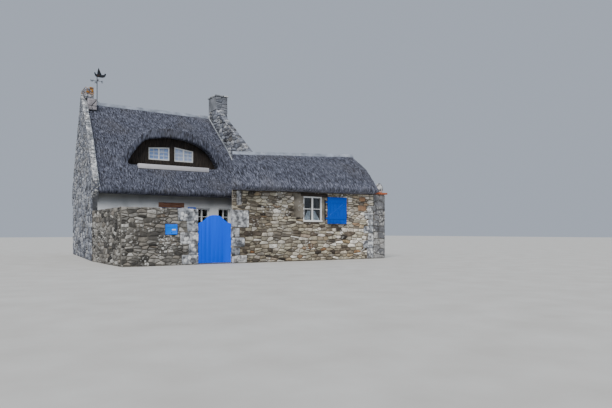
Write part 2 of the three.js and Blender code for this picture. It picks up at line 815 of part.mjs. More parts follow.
function gardenWalls() {
  const inner = MAIN.left + gableShift(MAIN.front);
  const outer = inner - GABLE.thick;
  const { x0, x1, z0, z1, deep, proud } = LETTER_BOX;
  const pocket = box(x0 - GAP, x1 + GAP, -10, deep + GAP, z0 - GAP, z1 + GAP);
  const wall = solid(box(outer, GARDEN.end, 0, GARDEN.deep, 0, GARDEN.high));
  piece("garden_wall", wall.subtract(solid(pocket)), "rubble");
  piece("letter_box", box(x0, x1, -proud, deep, z0, z1), "bluePaint");
  const side = box(outer, outer + GARDEN.side, GARDEN.deep, MAIN.front, 0, GARDEN.high);
  piece("courtyard_side_wall", side, "rubble");
}

// Two hinge pins on arms from a flat bar, and the rings that turn on them

function pins(pin, bar, armTo) {
  let body = solid(box(...bar));
  for (const z of pin.zs) {
    const under = z - THRUST;
    body = body
      .add(solid(box(...armTo, under - 12, under)))
      .add(solid(rod(pin.x, pin.y, under - 12, z + pin.high + 8, pin.r)));
  }
  return body;
}

function rings(pin) {
  return pin.zs.map((z) => solid(rod(pin.x, pin.y, z, z + pin.high, pin.ring)));
}

function bores(pin) {
  return pin.zs.map((z) => solid(rod(pin.x, pin.y, z - 20, z + pin.high + 20, pin.r + RUN_FIT)));
}

function gate() {
  const { x0, x1, y0, thick, foot, shoulder, crown } = GATE;
  const y1 = y0 + thick;
  const middle = (x0 + x1) / 2;
  const arch = GATE_ARCH;
  const rise = curve(
    [
      [x1, shoulder],
      [x1 - arch.shoulder, shoulder + arch.rise],
      [middle + arch.crown, crown - arch.drop],
      [middle, crown],
      [middle - arch.crown, crown - arch.drop],
      [x0 + arch.shoulder, shoulder + arch.rise],
      [x0, shoulder],
    ],
    arch.steps,
  );
  const { from, past, web, ring } = GATE_STRAP;
  let leaf = solid(alongY([[x0, foot], [x1, foot], ...rise], y0, y1));
  for (const z of GATE_PIN.zs) {
    const zTop = z + GATE_PIN.high;
    leaf = leaf
      .add(solid(box(x0 + from, middle + past, y1 - 1, y1 + STRAP, z, zTop)))
      .add(solid(box(GATE_PIN.x - web, GATE_PIN.x + web, y1 - 1, GATE_PIN.y - ring, z, zTop)));
  }
  leaf = joined(leaf, ...rings(GATE_PIN));
  for (const bore of bores(GATE_PIN)) leaf = leaf.subtract(bore);
  piece("gate_leaf", leaf, "bluePaint");

  const end = GARDEN.end;
  const b = GATE_BAR;
  const bar = [end, end + b.thick, b.y0, b.y1, b.z0, b.z1];
  piece("gate_hinge_bar", pins(GATE_PIN, bar, [end, GATE_PIN.x + ring, ...b.armY]), "iron");
}

function shutter() {
  const { x0, x1, z0, z1, y0, thick, rail, proud } = SHUTTER;
  const { short, inset } = SHUTTER_STRAP;
  let leaf = solid(box(x0, x1, y0, y0 + thick, z0, z1));
  for (const z of SHUTTER_PIN.zs) {
    leaf = leaf.add(
      solid(box(SHUTTER_PIN.x, x1 - short, y0 - STRAP - 1, y0 + 0.5, z, z + SHUTTER_PIN.high)),
    );
  }
  const ledgeZs = [z0 + SHUTTER_LEDGE.low, z1 - SHUTTER_LEDGE.high - rail];
  for (const z of ledgeZs) {
    leaf = leaf.add(solid(box(x0 + inset, x1 - inset, y0 - proud, y0 + 0.5, z, z + rail)));
  }
  leaf = joined(leaf, ...rings(SHUTTER_PIN));
  for (const bore of bores(SHUTTER_PIN)) leaf = leaf.subtract(bore);
  piece("wing_shutter", leaf, "bluePaint");
  const { x, y } = SHUTTER_PIN;
  const b = SHUTTER_BAR;
  const bar = [x - b.half, x + b.half, -b.thick, 0, b.z0, b.z1];
  piece("shutter_hinge_bar", pins(SHUTTER_PIN, bar, [x - b.arm, x + b.arm, y - b.armY, 0]), "iron");
  const stop = SHUTTER_STOP;
  const catchBox = box(x1 + stop.from, x1 + stop.to, -stop.deep, 0, z0 + stop.z0, z0 + stop.z1);
  piece("shutter_stop", catchBox, "iron");
}

// Weather vane

function weatherVane() {
  const { x, foot, mast, armZ, arm, armR, pin, boatZ } = VANE;
  const y = MAIN_ROOF.ridgeY;
  const seat = MAIN_ROOF.ridgeZ + RIDGE_CAP.thick;
  const collar = boatZ - 110;
  const bar = new THREE.CylinderGeometry(armR, armR, 2 * arm, 8);
  const along = bar.clone().rotateZ(Math.PI / 2).translate(x, y, armZ);
  const across = bar.clone().translate(x, y, armZ);
  const post = joined(
    solid(rod(x, y, seat, seat + 16, foot)),
    solid(rod(x, y, seat, collar, mast, 12)),
    solid(rod(x, y, seat, boatZ - 10, pin, 12)),
    solid(along),
    solid(across),
  );
  piece("vane_mast", post, "iron");

  const silhouette = [
    [-110, 7130],
    [-95, 7060],
    [-60, 6985],
    [0, boatZ],
    [200, boatZ],
    [280, 6990],
    [325, 7060],
    [335, 7130],
    [290, 7140],
    [265, 7085],
    [175, 7065],
    [120, 7180],
    [55, 7330],
    [20, 7200],
    [0, 7070],
    [-40, 7075],
    [-75, 7140],
  ].map(([dx, z]) => [x + dx, z]);
  const sleeve = solid(rod(x, y, collar + THRUST, boatZ + 20, mast, 12)).subtract(
    solid(rod(x, y, 0, boatZ - 5, pin + RUN_FIT, 12)),
  );
  piece("vane_boat", solid(alongY(silhouette, y - 5, y + 5)).add(sleeve), "iron");
}

mainWalls();
leftGable();
partyWall();
chimneys();
mainThatch();
dormerFront();
wingWalls();
wingWindow();
wingThatch();
pier();
gardenWalls();
gate();
shutter();
weatherVane();

// The origin moves to the middle of the footprint
const footprint = {
  x: [MAIN.left + gableShift(MAIN_ROOF.lip[0]) - GABLE.thick, PIER_TILE.x1],
  y: [WING_ROOF.lip[0], 2 * MAIN_ROOF.ridgeY - MAIN_ROOF.lip[0]],
};
const middle = (range) => (range[0] + range[1]) / 2;
cottage.position.set(-middle(footprint.x), -middle(footprint.y), 0);

export default cottage;
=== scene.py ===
# %% [markdown]
# # A thatched cottage
# The cottage stands in this scene already, as plain solids at their real size. The lesson gives each
# of them the surface of the real thing: rubble stones bedded in mortar, reed thatch, painted boards,
# glass, iron and lime render. Every length is in metres, X runs along the street, Y runs back from it
# and Z points up.

# %% Load the frame
import math
import random

import bmesh
import bpy
from mathutils import Matrix, Vector, noise
from mathutils.bvhtree import BVHTree
from mathutils.kdtree import KDTree


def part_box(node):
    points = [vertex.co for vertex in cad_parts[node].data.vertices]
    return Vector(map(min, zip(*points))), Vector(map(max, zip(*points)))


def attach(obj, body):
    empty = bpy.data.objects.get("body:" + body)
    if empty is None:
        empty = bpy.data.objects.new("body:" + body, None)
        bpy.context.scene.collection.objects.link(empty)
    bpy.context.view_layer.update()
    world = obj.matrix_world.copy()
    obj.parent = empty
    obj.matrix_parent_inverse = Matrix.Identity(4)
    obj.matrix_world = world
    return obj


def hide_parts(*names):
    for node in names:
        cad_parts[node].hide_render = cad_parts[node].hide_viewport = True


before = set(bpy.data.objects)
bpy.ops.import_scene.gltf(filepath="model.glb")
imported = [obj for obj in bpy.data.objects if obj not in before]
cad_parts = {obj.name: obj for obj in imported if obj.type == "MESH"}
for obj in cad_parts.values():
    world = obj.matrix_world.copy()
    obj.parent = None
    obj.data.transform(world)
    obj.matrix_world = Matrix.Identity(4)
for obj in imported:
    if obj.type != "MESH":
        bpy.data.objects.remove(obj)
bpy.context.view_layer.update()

NOISE_SEED = 7
noise.seed_set(NOISE_SEED)  # Without a seed, noise_vector takes its offsets from the clock

# %% [markdown]
# ## The camera
# The camera stands low and well to the left, and looks past the cottage. The picture is 612 pixels
# wide, and a lens of 550 pixels gives the walls and roofs their slopes. The horizon lies 28 pixels
# under the middle. A small upward shift of the lens brings it there and keeps upright edges upright,
# as tilting the camera would not.

# %% Place the camera
PICTURE_WIDTH = 612
FOCAL_PIXELS = 550
HORIZON_DROP = 28
SENSOR_WIDTH = 36
EYE_LEFT = 7.385  # from the street wall's left corner
EYE_AWAY = 15.26  # from the street wall
EYE_HEIGHT = 0.96
HEADING = math.radians(33.5)
street_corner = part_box("wing_front_wall")[0]

lens = bpy.data.cameras.new("camera")
lens.sensor_width = SENSOR_WIDTH
lens.lens = FOCAL_PIXELS / PICTURE_WIDTH * lens.sensor_width
lens.shift_y = HORIZON_DROP / PICTURE_WIDTH
camera = bpy.data.objects.new("camera", lens)
camera.location = (street_corner.x - EYE_LEFT, street_corner.y - EYE_AWAY, EYE_HEIGHT)
camera.rotation_euler = (math.radians(90), 0, -HEADING)
bpy.context.scene.collection.objects.link(camera)
bpy.context.scene.camera = camera
print("lens", round(lens.lens, 2), "mm")

# %% [markdown]
# ## Light and floor
# A bright, hazy sky lights the cottage evenly, with only soft shadows under the eaves. A pale blue
# world does about half of it. One wide sun, behind the camera and a little to its left, does the rest
# and gives the stones and the thatch some shape.

# %% Light the scene
SKY_STRENGTH = 0.55
SUN_STRENGTH = 3.0
SUN_WIDTH = math.radians(35)

world = bpy.data.worlds.new("sky")
bpy.context.scene.world = world
world.use_nodes = True
background = world.node_tree.nodes["Background"].inputs
background["Color"].default_value = (0.76, 0.85, 1.0, 1)
background["Strength"].default_value = SKY_STRENGTH

sun = bpy.data.lights.new("soft_sun", "SUN")
sun.energy = SUN_STRENGTH
sun.angle = SUN_WIDTH
sun.color = (1.0, 0.97, 0.93)
lamp = bpy.data.objects.new("soft_sun", sun)
lamp.rotation_euler = (math.radians(36), math.radians(-24), math.radians(-14))
bpy.context.scene.collection.objects.link(lamp)

FLOOR_REACH = 90
FLOOR_DROP = 0.003  # under the foot of the walls
floor_mesh = bpy.data.meshes.new("floor")
flat = bmesh.new()
bmesh.ops.create_grid(flat, x_segments=1, y_segments=1, size=FLOOR_REACH)
bmesh.ops.translate(flat, verts=flat.verts, vec=(0, 0, -FLOOR_DROP))
flat.to_mesh(floor_mesh)
flat.free()
floor = bpy.data.objects.new("floor", floor_mesh)
bpy.context.scene.collection.objects.link(floor)
print("floor", 2 * FLOOR_REACH, "m across")

# %% [markdown]
# ## Small helpers for materials
# A material is a network of nodes. Typing each link by hand is slow, so these helpers add a node and
# fill its sockets in one line: a value is stored in the socket, and another node's output is linked.


# %% Helpers for shader nodes
def paint(code):
    """An sRGB colour written as six hex digits, as the linear colour that nodes need."""
    parts = [int(code[i : i + 2], 16) / 255 for i in (0, 2, 4)]
    return [((c + 0.055) / 1.055) ** 2.4 if c > 0.04045 else c / 12.92 for c in parts] + [1.0]


def put(tree, socket, value):
    if isinstance(value, bpy.types.NodeSocket):
        tree.links.new(value, socket)
    else:
        socket.default_value = value


def add(tree, kind, settings=None, **values):
    """Adds a node, a shader node unless its kind names another family. Spaces in a socket's name are
    written as underscores."""
    made = tree.nodes.new(kind if "Node" in kind else "ShaderNode" + kind)
    for key, value in (settings or {}).items():
        setattr(made, key, value)
    for key, value in values.items():
        put(tree, made.inputs[key.replace("_", " ")], value)
    return made


def mixed(tree, factor, first, second, blend="MIX"):
    made = tree.nodes.new("ShaderNodeMix")
    made.data_type = "RGBA"
    made.blend_type = blend
    for index, value in ((0, factor), (6, first), (7, second)):
        put(tree, made.inputs[index], value)
    return made.outputs[2]


def calculated(tree, operation, *values):
    made = add(tree, "Math", {"operation": operation})
    for socket, value in zip(made.inputs, values):
        put(tree, socket, value)
    return made.outputs[0]


def ramp(tree, factor, stops):
    """A colour ramp through (place, hex colour) stops."""
    made = add(tree, "ValToRGB", Fac=factor)
    elements = made.color_ramp.elements
    while len(elements) < len(stops):
        elements.new(0.5)
    for element, (place, code) in zip(elements, stops):
        element.position = place
        element.color = paint(code)
    return made.outputs["Color"]


def attribute(tree, name):
    return add(tree, "Attribute", {"attribute_name": name}).outputs["Fac"]


def placed(tree):
    """Where a point lies on the cottage, in metres."""
    return add(tree, "TexCoord").outputs["Object"]


def coordinate(tree, vector, axis):
    return add(tree, "SeparateXYZ", Vector=vector).outputs[axis]


def rising(tree, value, low, high):
    """Goes from 0 to 1 while the value goes from low to high. Low may be the greater one."""
    return add(tree, "MapRange", Value=value, From_Min=low, From_Max=high).outputs[0]


def cloud(tree, where, scale, detail, **more):
    """Soft noise. The greater the scale, the finer it is."""
    return add(tree, "TexNoise", Vector=where, Scale=scale, Detail=detail, **more).outputs["Fac"]


# %% [markdown]
# ## Effects that several materials share
# Weather does the same few things to stone, thatch, paint and mortar: it stains in patches, washes
# down in streaks, speckles, grows lichen and wears edges. Each effect is one node group with named
# sockets, built once and placed in each material with that material's own values. The groups put out
# masks only. Shaders stay in the materials.


# %% Build the shared effects
def effect(name, inputs, output):
    """An empty node group with its named inputs and the socket for its one output, a number."""
    group = bpy.data.node_groups.new(name, "ShaderNodeTree")
    for label, value in (("Vector", None), *inputs):
        kind = "NodeSocketFloat" if isinstance(value, float) else "NodeSocketVector"
        socket = group.interface.new_socket(name=label, in_out="INPUT", socket_type=kind)
        if value is not None:
            socket.default_value = value
    group.interface.new_socket(name=output, in_out="OUTPUT", socket_type="NodeSocketFloat")
    entry = group.nodes.new("NodeGroupInput").outputs
    return group, entry, group.nodes.new("NodeGroupOutput").inputs[output]


def make_patches():
    """Soft stains: noise above a level, with a soft edge."""
    inputs = [("Scale", 1.0), ("Level", 0.5), ("Softness", 0.1)]
    group, entry, leave = effect("patches", inputs, "Mask")
    thick = cloud(group, entry["Vector"], entry["Scale"], 5.0)
    over = calculated(group, "SUBTRACT", thick, entry["Level"])
    steep = calculated(group, "DIVIDE", over, entry["Softness"])
    put(group, leave, add(group, "Clamp", Value=steep).outputs[0])
    return group


def make_streaks():
    """Long marks: noise that is fine across X and Y, and drawn out along one direction."""
    group, entry, leave = effect("streaks", [("Spread", (1, 1, 1)), ("Detail", 3.0)], "Value")
    drawn = add(group, "VectorMath", {"operation": "MULTIPLY"})
    put(group, drawn.inputs[0], entry["Vector"])
    put(group, drawn.inputs[1], entry["Spread"])
    put(group, leave, cloud(group, drawn.outputs[0], 1.0, entry["Detail"]))
    return group


def make_lichen():
    """Round crusts in loose colonies: cells of about the given size, kept where a cloud is thick."""
    group, entry, leave = effect("lichen", [("Scale", 12.0), ("Level", 0.55)], "Mask")
    wobble = add(group, "TexNoise", Vector=entry["Vector"], Scale=30.0, Detail=2.0)
    bent = add(group, "VectorMath", {"operation": "MULTIPLY_ADD"})
    put(group, bent.inputs[0], wobble.outputs["Color"])
    bent.inputs[1].default_value = (0.06, 0.06, 0.06)
    put(group, bent.inputs[2], entry["Vector"])
    cells = add(group, "TexVoronoi", Vector=bent.outputs[0], Scale=entry["Scale"])
    crust = rising(group, cells.outputs["Distance"], 0.42, 0.34)
    colony = cloud(group, entry["Vector"], 2.2, 3.0)
    dense = calculated(group, "SUBTRACT", colony, entry["Level"])
    dense = add(group, "Clamp", Value=calculated(group, "MULTIPLY", dense, 12.0)).outputs[0]
    put(group, leave, calculated(group, "MULTIPLY", crust, dense))
    return group


def make_wear():
    """Bare edges: the faces that were rounded carry the attribute edge, and noise breaks them up."""
    group, entry, leave = effect("worn edges", [("Amount", 0.5)], "Mask")
    chips = cloud(group, entry["Vector"], 28.0, 4.0)
    bare = calculated(group, "ADD", chips, entry["Amount"])
    bare = add(group, "Clamp", Value=calculated(group, "MULTIPLY_ADD", bare, 9.0, -7.5)).outputs[0]
    put(group, leave, calculated(group, "MULTIPLY", bare, attribute(group, "edge")))
    return group


EFFECTS = {
    "patches": make_patches(),
    "streaks": make_streaks(),
    "lichen": make_lichen(),
    "wear": make_wear(),
}


def use(tree, name, where, **values):
    """Places a shared effect in a material and gives its output."""
    return add(tree, "Group", {"node_tree": EFFECTS[name]}, Vector=where, **values).outputs[0]


def covered_by(tree, mask, share, colour, code):
    """Lays a second colour over the first where the mask is, with a share of its full strength."""
    return mixed(tree, calculated(tree, "MULTIPLY", mask, share), colour, paint(code))


def stained(tree, where, share, colour, code, scale, level, softness):
    mask = use(tree, "patches", where, Scale=scale, Level=level, Softness=softness)
    return covered_by(tree, mask, share, colour, code)


print("effects", sorted(EFFECTS))

# %% [markdown]
# ## Starting a material
# Each material is one Principled shader. A colour and a roughness come in, and a height map becomes
# a Bump node, which tilts the light over small detail that is too fine to model.


# %% Start and close a material
def new_material(name):
    material = bpy.data.materials.new(name)
    material.use_nodes = True
    return material, material.node_tree


def surface(tree, colour, roughness, height=None, depth=0.01, strength=1.0, **constants):
    shader = tree.nodes["Principled BSDF"]
    put(tree, shader.inputs["Base Color"], colour)
    put(tree, shader.inputs["Roughness"], roughness)
    if height is not None:
        bump = add(tree, "Bump", Height=height, Distance=depth, Strength=strength)
        put(tree, shader.inputs["Normal"], bump.outputs["Normal"])
    for key, value in constants.items():
        shader.inputs[key.replace("_", " ")].default_value = value


# %% [markdown]
# ## Reed thatch
# Old thatch is slate grey with a violet tinge. What shows is the cut end and the last hand's breadth
# of each reed, so the pattern is fine across the slope and longer down it. Two layers of streaks, one
# for the reeds and one for the strands they lie in, with soft stains over them, give that combed look.
# The attribute tone makes each tuft a little lighter or darker than the next. The skin between the tufts
# has no tone and so is darker than any tuft: painted shade in the gaps.


# %% Thatch material
def thatch_material(name, painted_light_eave=None):
    """Reed. Where painted_light_eave gives two heights, the reed is painted lighter from the second down to
    the first: painted light along the eave.
    """
    material, tree = new_material(name)
    where = placed(tree)
    reed = use(tree, "streaks", where, Spread=(80, 9, 9), Detail=4.0)
    strand = use(tree, "streaks", where, Spread=(36, 6, 6), Detail=3.0)
    value = calculated(tree, "MULTIPLY_ADD", reed, 0.40, calculated(tree, "MULTIPLY", strand, 0.85))
    # Tone lightens the tufts. The bare skin between them stays darker, as painted shade in the gaps.
    value = calculated(tree, "MULTIPLY_ADD", attribute(tree, "tone"), 0.13, value)
    shades = [(0.34, "1a1b22"), (0.47, "3b3e4a"), (0.58, "5a5e6e"), (0.72, "898d9d")]
    colour = ramp(tree, calculated(tree, "SUBTRACT", value, 0.115), shades)
    colour = stained(tree, where, 0.22, colour, "56524f", 0.8, 0.52, 0.12)
    colour = stained(tree, where, 0.16, colour, "8a8f9f", 2.3, 0.56, 0.10)
    # Painted light: the reed grows lighter towards the wing's eave, as a lit lower edge.
    if painted_light_eave:
        eave = rising(tree, coordinate(tree, where, "Z"), painted_light_eave[1], painted_light_eave[0])
        colour = mixed(tree, eave, colour, [1.45, 1.42, 1.38, 1.0], "MULTIPLY")
    surface(tree, colour, 0.95, height=value, depth=0.02, strength=0.8)
    return material


# Height of the band of painted light, up from the wing's eave.
PAINTED_LIGHT_BAND = 0.55  # up from the wing's eave
wing_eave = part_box("wing_thatch_front")[0].z
THATCH = thatch_material("weathered_thatch")
WING_THATCH = thatch_material("wing_thatch", (wing_eave, wing_eave + PAINTED_LIGHT_BAND))
print("made", THATCH.name, WING_THATCH.name)

# %% [markdown]
# ## Stone and mortar
# The rubble is a mix of granite and schist: tan, cream, grey and a few rusty stones. Each stone gets
# its own tone from an attribute that the mesh carries, and a ramp turns the tone into one of the
# quarry's colours. Grain, stains and pale lichen lie over all of them.

# %% Stone materials
COOL_SHARES = (0.00, 0.20, 0.40, 0.55, 0.70, 0.85, 0.95, 1.00)
WARM_SHARES = (0.00, 0.14, 0.30, 0.45, 0.60, 0.72, 0.84, 0.93, 0.97, 1.00)


def palette(shares, codes):
    """Stops for a ramp: how far up the tones each colour stands, and its code."""
    return list(zip(shares, codes.split()))


WARM_STONES = palette(WARM_SHARES, "29231d 62574a 968c78 c2baa4 6c6357 dcd6c8 937f60 f0ece2 8d7355 79532e")
GREY_STONES = palette(COOL_SHARES, "34322f 66635e 918e88 5c5954 aeaaa2 7b746a cfccc5 6e6254")
COOL_STONES = palette(COOL_SHARES, "383a41 686c77 979ca8 62656e b4b9c4 7e818a d6d9df 6f6c69")
CALM_STONES = palette((0.00, 0.50, 1.00), "747983 92969f a8abb2")


def lichen_crown(tree, where, colour, low, high):
    """Orange lichen that thickens from one height to another, on the side that faces the street."""
    level = rising(tree, coordinate(tree, where, "Z"), low, high)
    facing = coordinate(tree, add(tree, "NewGeometry").outputs["Normal"], "Y")
    front = calculated(tree, "LESS_THAN", facing, -0.4)
    spots = use(tree, "patches", where, Scale=7.0, Level=0.40, Softness=0.06)
    mask = calculated(tree, "MULTIPLY", calculated(tree, "MULTIPLY", level, front), spots)
    return mixed(tree, mask, colour, paint("a06a14"))


def cleaner_to_the_right(tree, where, colour, low, high, gain):
    """Stone that is brighter by gain, and a touch bluer, further along the wall: from low to high."""
    share = rising(tree, coordinate(tree, where, "X"), low, high)
    return mixed(tree, share, colour, [gain, gain * 1.01, gain * 1.03, 1.0], "MULTIPLY")


def stone_material(
    name, stops, lichen=0.56, crust_colour="d3d2cd", size=13.0, mottle=0.0, lime=0.0, crown=None, clean=None
):
    """Stones that take their colour from a palette. Lichen is thicker where its level is lower, and
    lime is how much of a pale wash from the joints lies on them."""
    material, tree = new_material(name)
    where = placed(tree)
    colour = ramp(tree, attribute(tree, "tone"), stops)
    grain = cloud(tree, where, 55.0, 6.0, Roughness=0.7)
    layer = use(tree, "streaks", where, Spread=(9, 9, 34), Detail=4.0)
    shade = calculated(tree, "MULTIPLY_ADD", grain, 0.9, 0.12)
    shade = calculated(tree, "MULTIPLY_ADD", layer, 0.75, shade)
    colour = mixed(tree, 1.0, colour, ramp(tree, shade, [(0.52, "5f5c59"), (0.95, "ffffff")]), "MULTIPLY")
    if mottle:
        speckle = cloud(tree, where, 6.0, 8.0, Roughness=0.7)
        blotch = ramp(tree, speckle, [(0.42, "4c4c4e"), (0.58, "ffffff")])
        colour = mixed(tree, mottle, colour, blotch, "MULTIPLY")
    crust = use(tree, "lichen", where, Scale=size, Level=lichen)
    colour = covered_by(tree, crust, 0.8, colour, crust_colour)
    colour = stained(tree, where, 0.25, colour, "5d554c", 1.1, 0.54, 0.15)
    if lime:
        colour = stained(tree, where, lime, colour, "c9c4b8", 0.9, 0.46, 0.12)
    if crown:
        colour = lichen_crown(tree, where, colour, *crown)
    if clean:
        colour = cleaner_to_the_right(tree, where, colour, *clean)
    height = calculated(tree, "MULTIPLY_ADD", grain, 0.6, layer)
    surface(tree, colour, 0.92, height=height, depth=0.012, strength=0.8)
    return material


def mortar_material(name, light, dark, crack=0.0):
    """Lime and sand: grainy, stained, and with hair cracks where crack is above nought."""
    material, tree = new_material(name)
    where = placed(tree)
    sand = cloud(tree, where, 140.0, 4.0)
    broad = cloud(tree, where, 3.0, 5.0)
    colour = ramp(tree, calculated(tree, "MULTIPLY_ADD", sand, 0.4, broad), [(0.48, dark), (0.85, light)])
    crust = use(tree, "lichen", where, Scale=16.0, Level=0.56)
    colour = covered_by(tree, crust, 0.5, colour, "d8d7d2")
    height = sand
    if crack:
        cells = add(tree, "TexVoronoi", {"feature": "DISTANCE_TO_EDGE"}, Vector=where, Scale=crack)
        split = calculated(tree, "MULTIPLY", cells.outputs["Distance"], 30.0)
        split = add(tree, "Clamp", Value=split).outputs[0]
        colour = mixed(tree, split, paint("55524e"), colour)
        height = calculated(tree, "ADD", height, split)
    surface(tree, colour, 0.93, height=height, depth=0.006, strength=0.7)
    return material


CLEAN_RUN = (street_corner.x + 0.9, street_corner.x + 5.0)
WARM_RUBBLE = stone_material("warm_rubble", WARM_STONES, mottle=0.5, lime=0.12, clean=(*CLEAN_RUN, 1.8))
GREY_RUBBLE = stone_material("grey_rubble", GREY_STONES, lichen=0.5, mottle=0.4)
COOL_RUBBLE = stone_material("cool_rubble", COOL_STONES, lichen=0.5, mottle=0.4)
CALM_RUBBLE = stone_material("calm_rubble", CALM_STONES, lichen=0.6, mottle=0.4)
BLOCK_TONES = [(0.0, "a0a4aa"), (0.4, "b8bcc2"), (0.75, "c8c9cb"), (1.0, "d6d5d3")]
GRANITE = stone_material("dressed_granite", BLOCK_TONES, 0.42, "ecedec", 7.0, mottle=0.85)
SLATE_TONES = [(0.0, "34383d"), (1.0, "4c5157")]
SLATE = stone_material("slate_floor", SLATE_TONES, lichen=0.9)
PALE_TONES = [(0.0, "a7a3a8"), (1.0, "b9b5b9")]
PALE_BLOCK = stone_material("pale_block", PALE_TONES, lichen=0.6, mottle=0.25)
PIER_TONES = [(0.0, "6e6e72"), (0.5, "97989b"), (1.0, "b0aeab")]
PIER_GRANITE = stone_material("pier_granite", PIER_TONES, lichen=0.46, mottle=0.5)
CHIMNEY_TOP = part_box("left_chimney")[1].z
CHIMNEY_STONE = stone_material(
    "chimney_stone", COOL_STONES, 0.45, "c9c9c5", crown=(CHIMNEY_TOP - 0.36, CHIMNEY_TOP - 0.20)
)
COPING_STONE = stone_material("limed_coping", BLOCK_TONES, 0.30, "f2f3f3", 6.0, mottle=0.8)
BOULDER = stone_material("boulder", BLOCK_TONES, 0.36, "efefec", 8.0, mottle=0.9)
WALL_MORTAR = mortar_material("wall_mortar", "6f6658", "3a342c")
GREY_MORTAR = mortar_material("grey_mortar", "77736b", "403d38")
COOL_MORTAR = mortar_material("cool_mortar", "7a7c80", "42444a")
RIDGE_MORTAR = mortar_material("ridge_mortar", "a5adbb", "6d737e")
PALE_MORTAR = mortar_material("pale_mortar", "b9bfc6", "7d8289", crack=2.2)
LIMED_MORTAR = mortar_material("limed_mortar", "eef1f4", "a3a8ae")
# Render for the patches by the wing's window: partly its own grey, partly painted shade, darker than the
# chimney's render for the eave above.
SHADE_DARKENED_RENDER = mortar_material("grey_render", "8d867a", "504a40")
SMOOTH_RENDER = mortar_material("smooth_grey_render", "8f9298", "65686d")
print("stone and mortar finishes", len(bpy.data.materials) - 1)

# %% [markdown]
# ## Render, paint, wood, iron, glass and cloth
# Each of these is a short network. The render is white lime, with painted shade that darkens it up under
# the eave. Blue paint is thick and almost flat, with the faint grain of the boards and bare wood on the
# worn edges; on the shutters and the door those edges are a light blue, partly wear and partly a painted
# highlight.
# Old timber is streaked along its grain. Window glass keeps a plain transmission, so it shows a dark room.
# The dormer's panes mirror a bright part of the sky that isn't in the scene, so they carry a painted sky
# reflection instead, pale blue and almost white on the right window, and let little through.

# %% Other materials
# Painted shade: the render darkens up under the eave, where the thatch shades it.
EAVE_PAINTED_SHADE = (1.75, 2.15)  # the heights between which the render darkens


def render_material():
    material, tree = new_material("white_lime_render")
    where = placed(tree)
    wash = cloud(tree, where, 2.0, 5.0)
    colour = ramp(tree, wash, [(0.3, "bfc4c8"), (0.5, "dfe3e6"), (0.75, "eef0f1")])
    # Painted shade under the eave: an olive brown laid over the render towards the top.
    stain = rising(tree, coordinate(tree, where, "Z"), *EAVE_PAINTED_SHADE)
    colour = covered_by(tree, stain, 0.72, colour, "4b483b")
    grit = cloud(tree, where, 60.0, 5.0)
    height = calculated(tree, "MULTIPLY_ADD", cloud(tree, where, 2.5, 2.0), 4.0, grit)
    surface(tree, colour, 0.9, height=height, depth=0.006, strength=0.6)
    return material


def painted_wood(name, colour_code, faded_code, bare_and_highlight_code, amount, roughness=0.42, gloss=0.5):
    material, tree = new_material(name)
    where = placed(tree)
    grain = use(tree, "streaks", where, Spread=(60, 60, 3), Detail=4.0)
    colour = stained(tree, where, 0.5, paint(colour_code), faded_code, 1.6, 0.45, 0.2)
    colour = covered_by(tree, grain, 0.12, colour, bare_and_highlight_code)
    worn = use(tree, "wear", where, Amount=amount)
    # Worn edges take the bare colour. In the shutter paint it is a light blue: partly wear, partly a
    # painted highlight on the edges.
    colour = mixed(tree, worn, colour, paint(bare_and_highlight_code))
    rough = calculated(tree, "MULTIPLY_ADD", grain, 0.2, roughness)
    surface(tree, colour, rough, height=grain, depth=0.0015, strength=0.5, Specular_IOR_Level=gloss)
    return material


def timber(name, stops, spread):
    material, tree = new_material(name)
    where = placed(tree)
    grain = use(tree, "streaks", where, Spread=spread, Detail=6.0)
    value = calculated(tree, "MULTIPLY_ADD", attribute(tree, "tone"), 0.12, grain)
    colour = ramp(tree, value, stops)
    surface(tree, colour, 0.85, height=grain, depth=0.004, strength=0.8)
    return material


def iron_material():
    material, tree = new_material("black_iron")
    where = placed(tree)
    rust = use(tree, "patches", where, Scale=14.0, Level=0.55, Softness=0.06)
    colour = covered_by(tree, rust, 0.5, paint("1b2229"), "4b3122")
    grit = cloud(tree, where, 120.0, 3.0)
    rough = calculated(tree, "MULTIPLY_ADD", rust, 0.3, 0.5)
    surface(tree, colour, rough, height=grit, depth=0.001, strength=0.6, Metallic=0.3)
    return material


def glass_material(name, tint_code, dust_and_reflection_code, clear, gloss=0.5, painted_reflection_from=None):
    """Glass with patches of a second colour: dust on the plain windows, a painted sky reflection on the
    dormer's. Past the place painted_reflection_from the painted reflection is almost white.
    """
    material, tree = new_material(name)
    where = placed(tree)
    wave = cloud(tree, where, 5.0, 1.0)
    # Patches: real dust on the plain windows, two blues of a painted sky reflection on the dormer's.
    dust = use(tree, "patches", where, Scale=7.0, Level=0.5, Softness=0.3)
    colour = mixed(tree, dust, paint(tint_code), paint(dust_and_reflection_code))
    if painted_reflection_from is not None:
        past = calculated(tree, "GREATER_THAN", coordinate(tree, where, "X"), painted_reflection_from)
        colour = mixed(tree, past, colour, paint("cfe0ff"))
    rough = calculated(tree, "MULTIPLY_ADD", dust, 0.05, 0.02)
    constants = dict(Metallic=0.0, Transmission_Weight=clear, Specular_IOR_Level=gloss)
    surface(tree, colour, rough, height=wave, depth=0.002, strength=0.3, **constants)
    return material


def cloth_material():
    material, tree = new_material("curtain_cloth")
    where = placed(tree)
    weave = add(tree, "TexWave", {"bands_direction": "X"}, Vector=where, Scale=160.0, Distortion=0.6)
    fill = add(tree, "TexWave", {"bands_direction": "Z"}, Vector=where, Scale=160.0, Distortion=0.6)
    threads = calculated(tree, "MULTIPLY", weave.outputs["Fac"], fill.outputs["Fac"])
    colour = mixed(tree, threads, paint("d9dde2"), paint("f7f8f8"))
    surface(tree, colour, 0.9, height=threads, depth=0.0006, strength=0.6, Sheen_Weight=0.3)
    return material


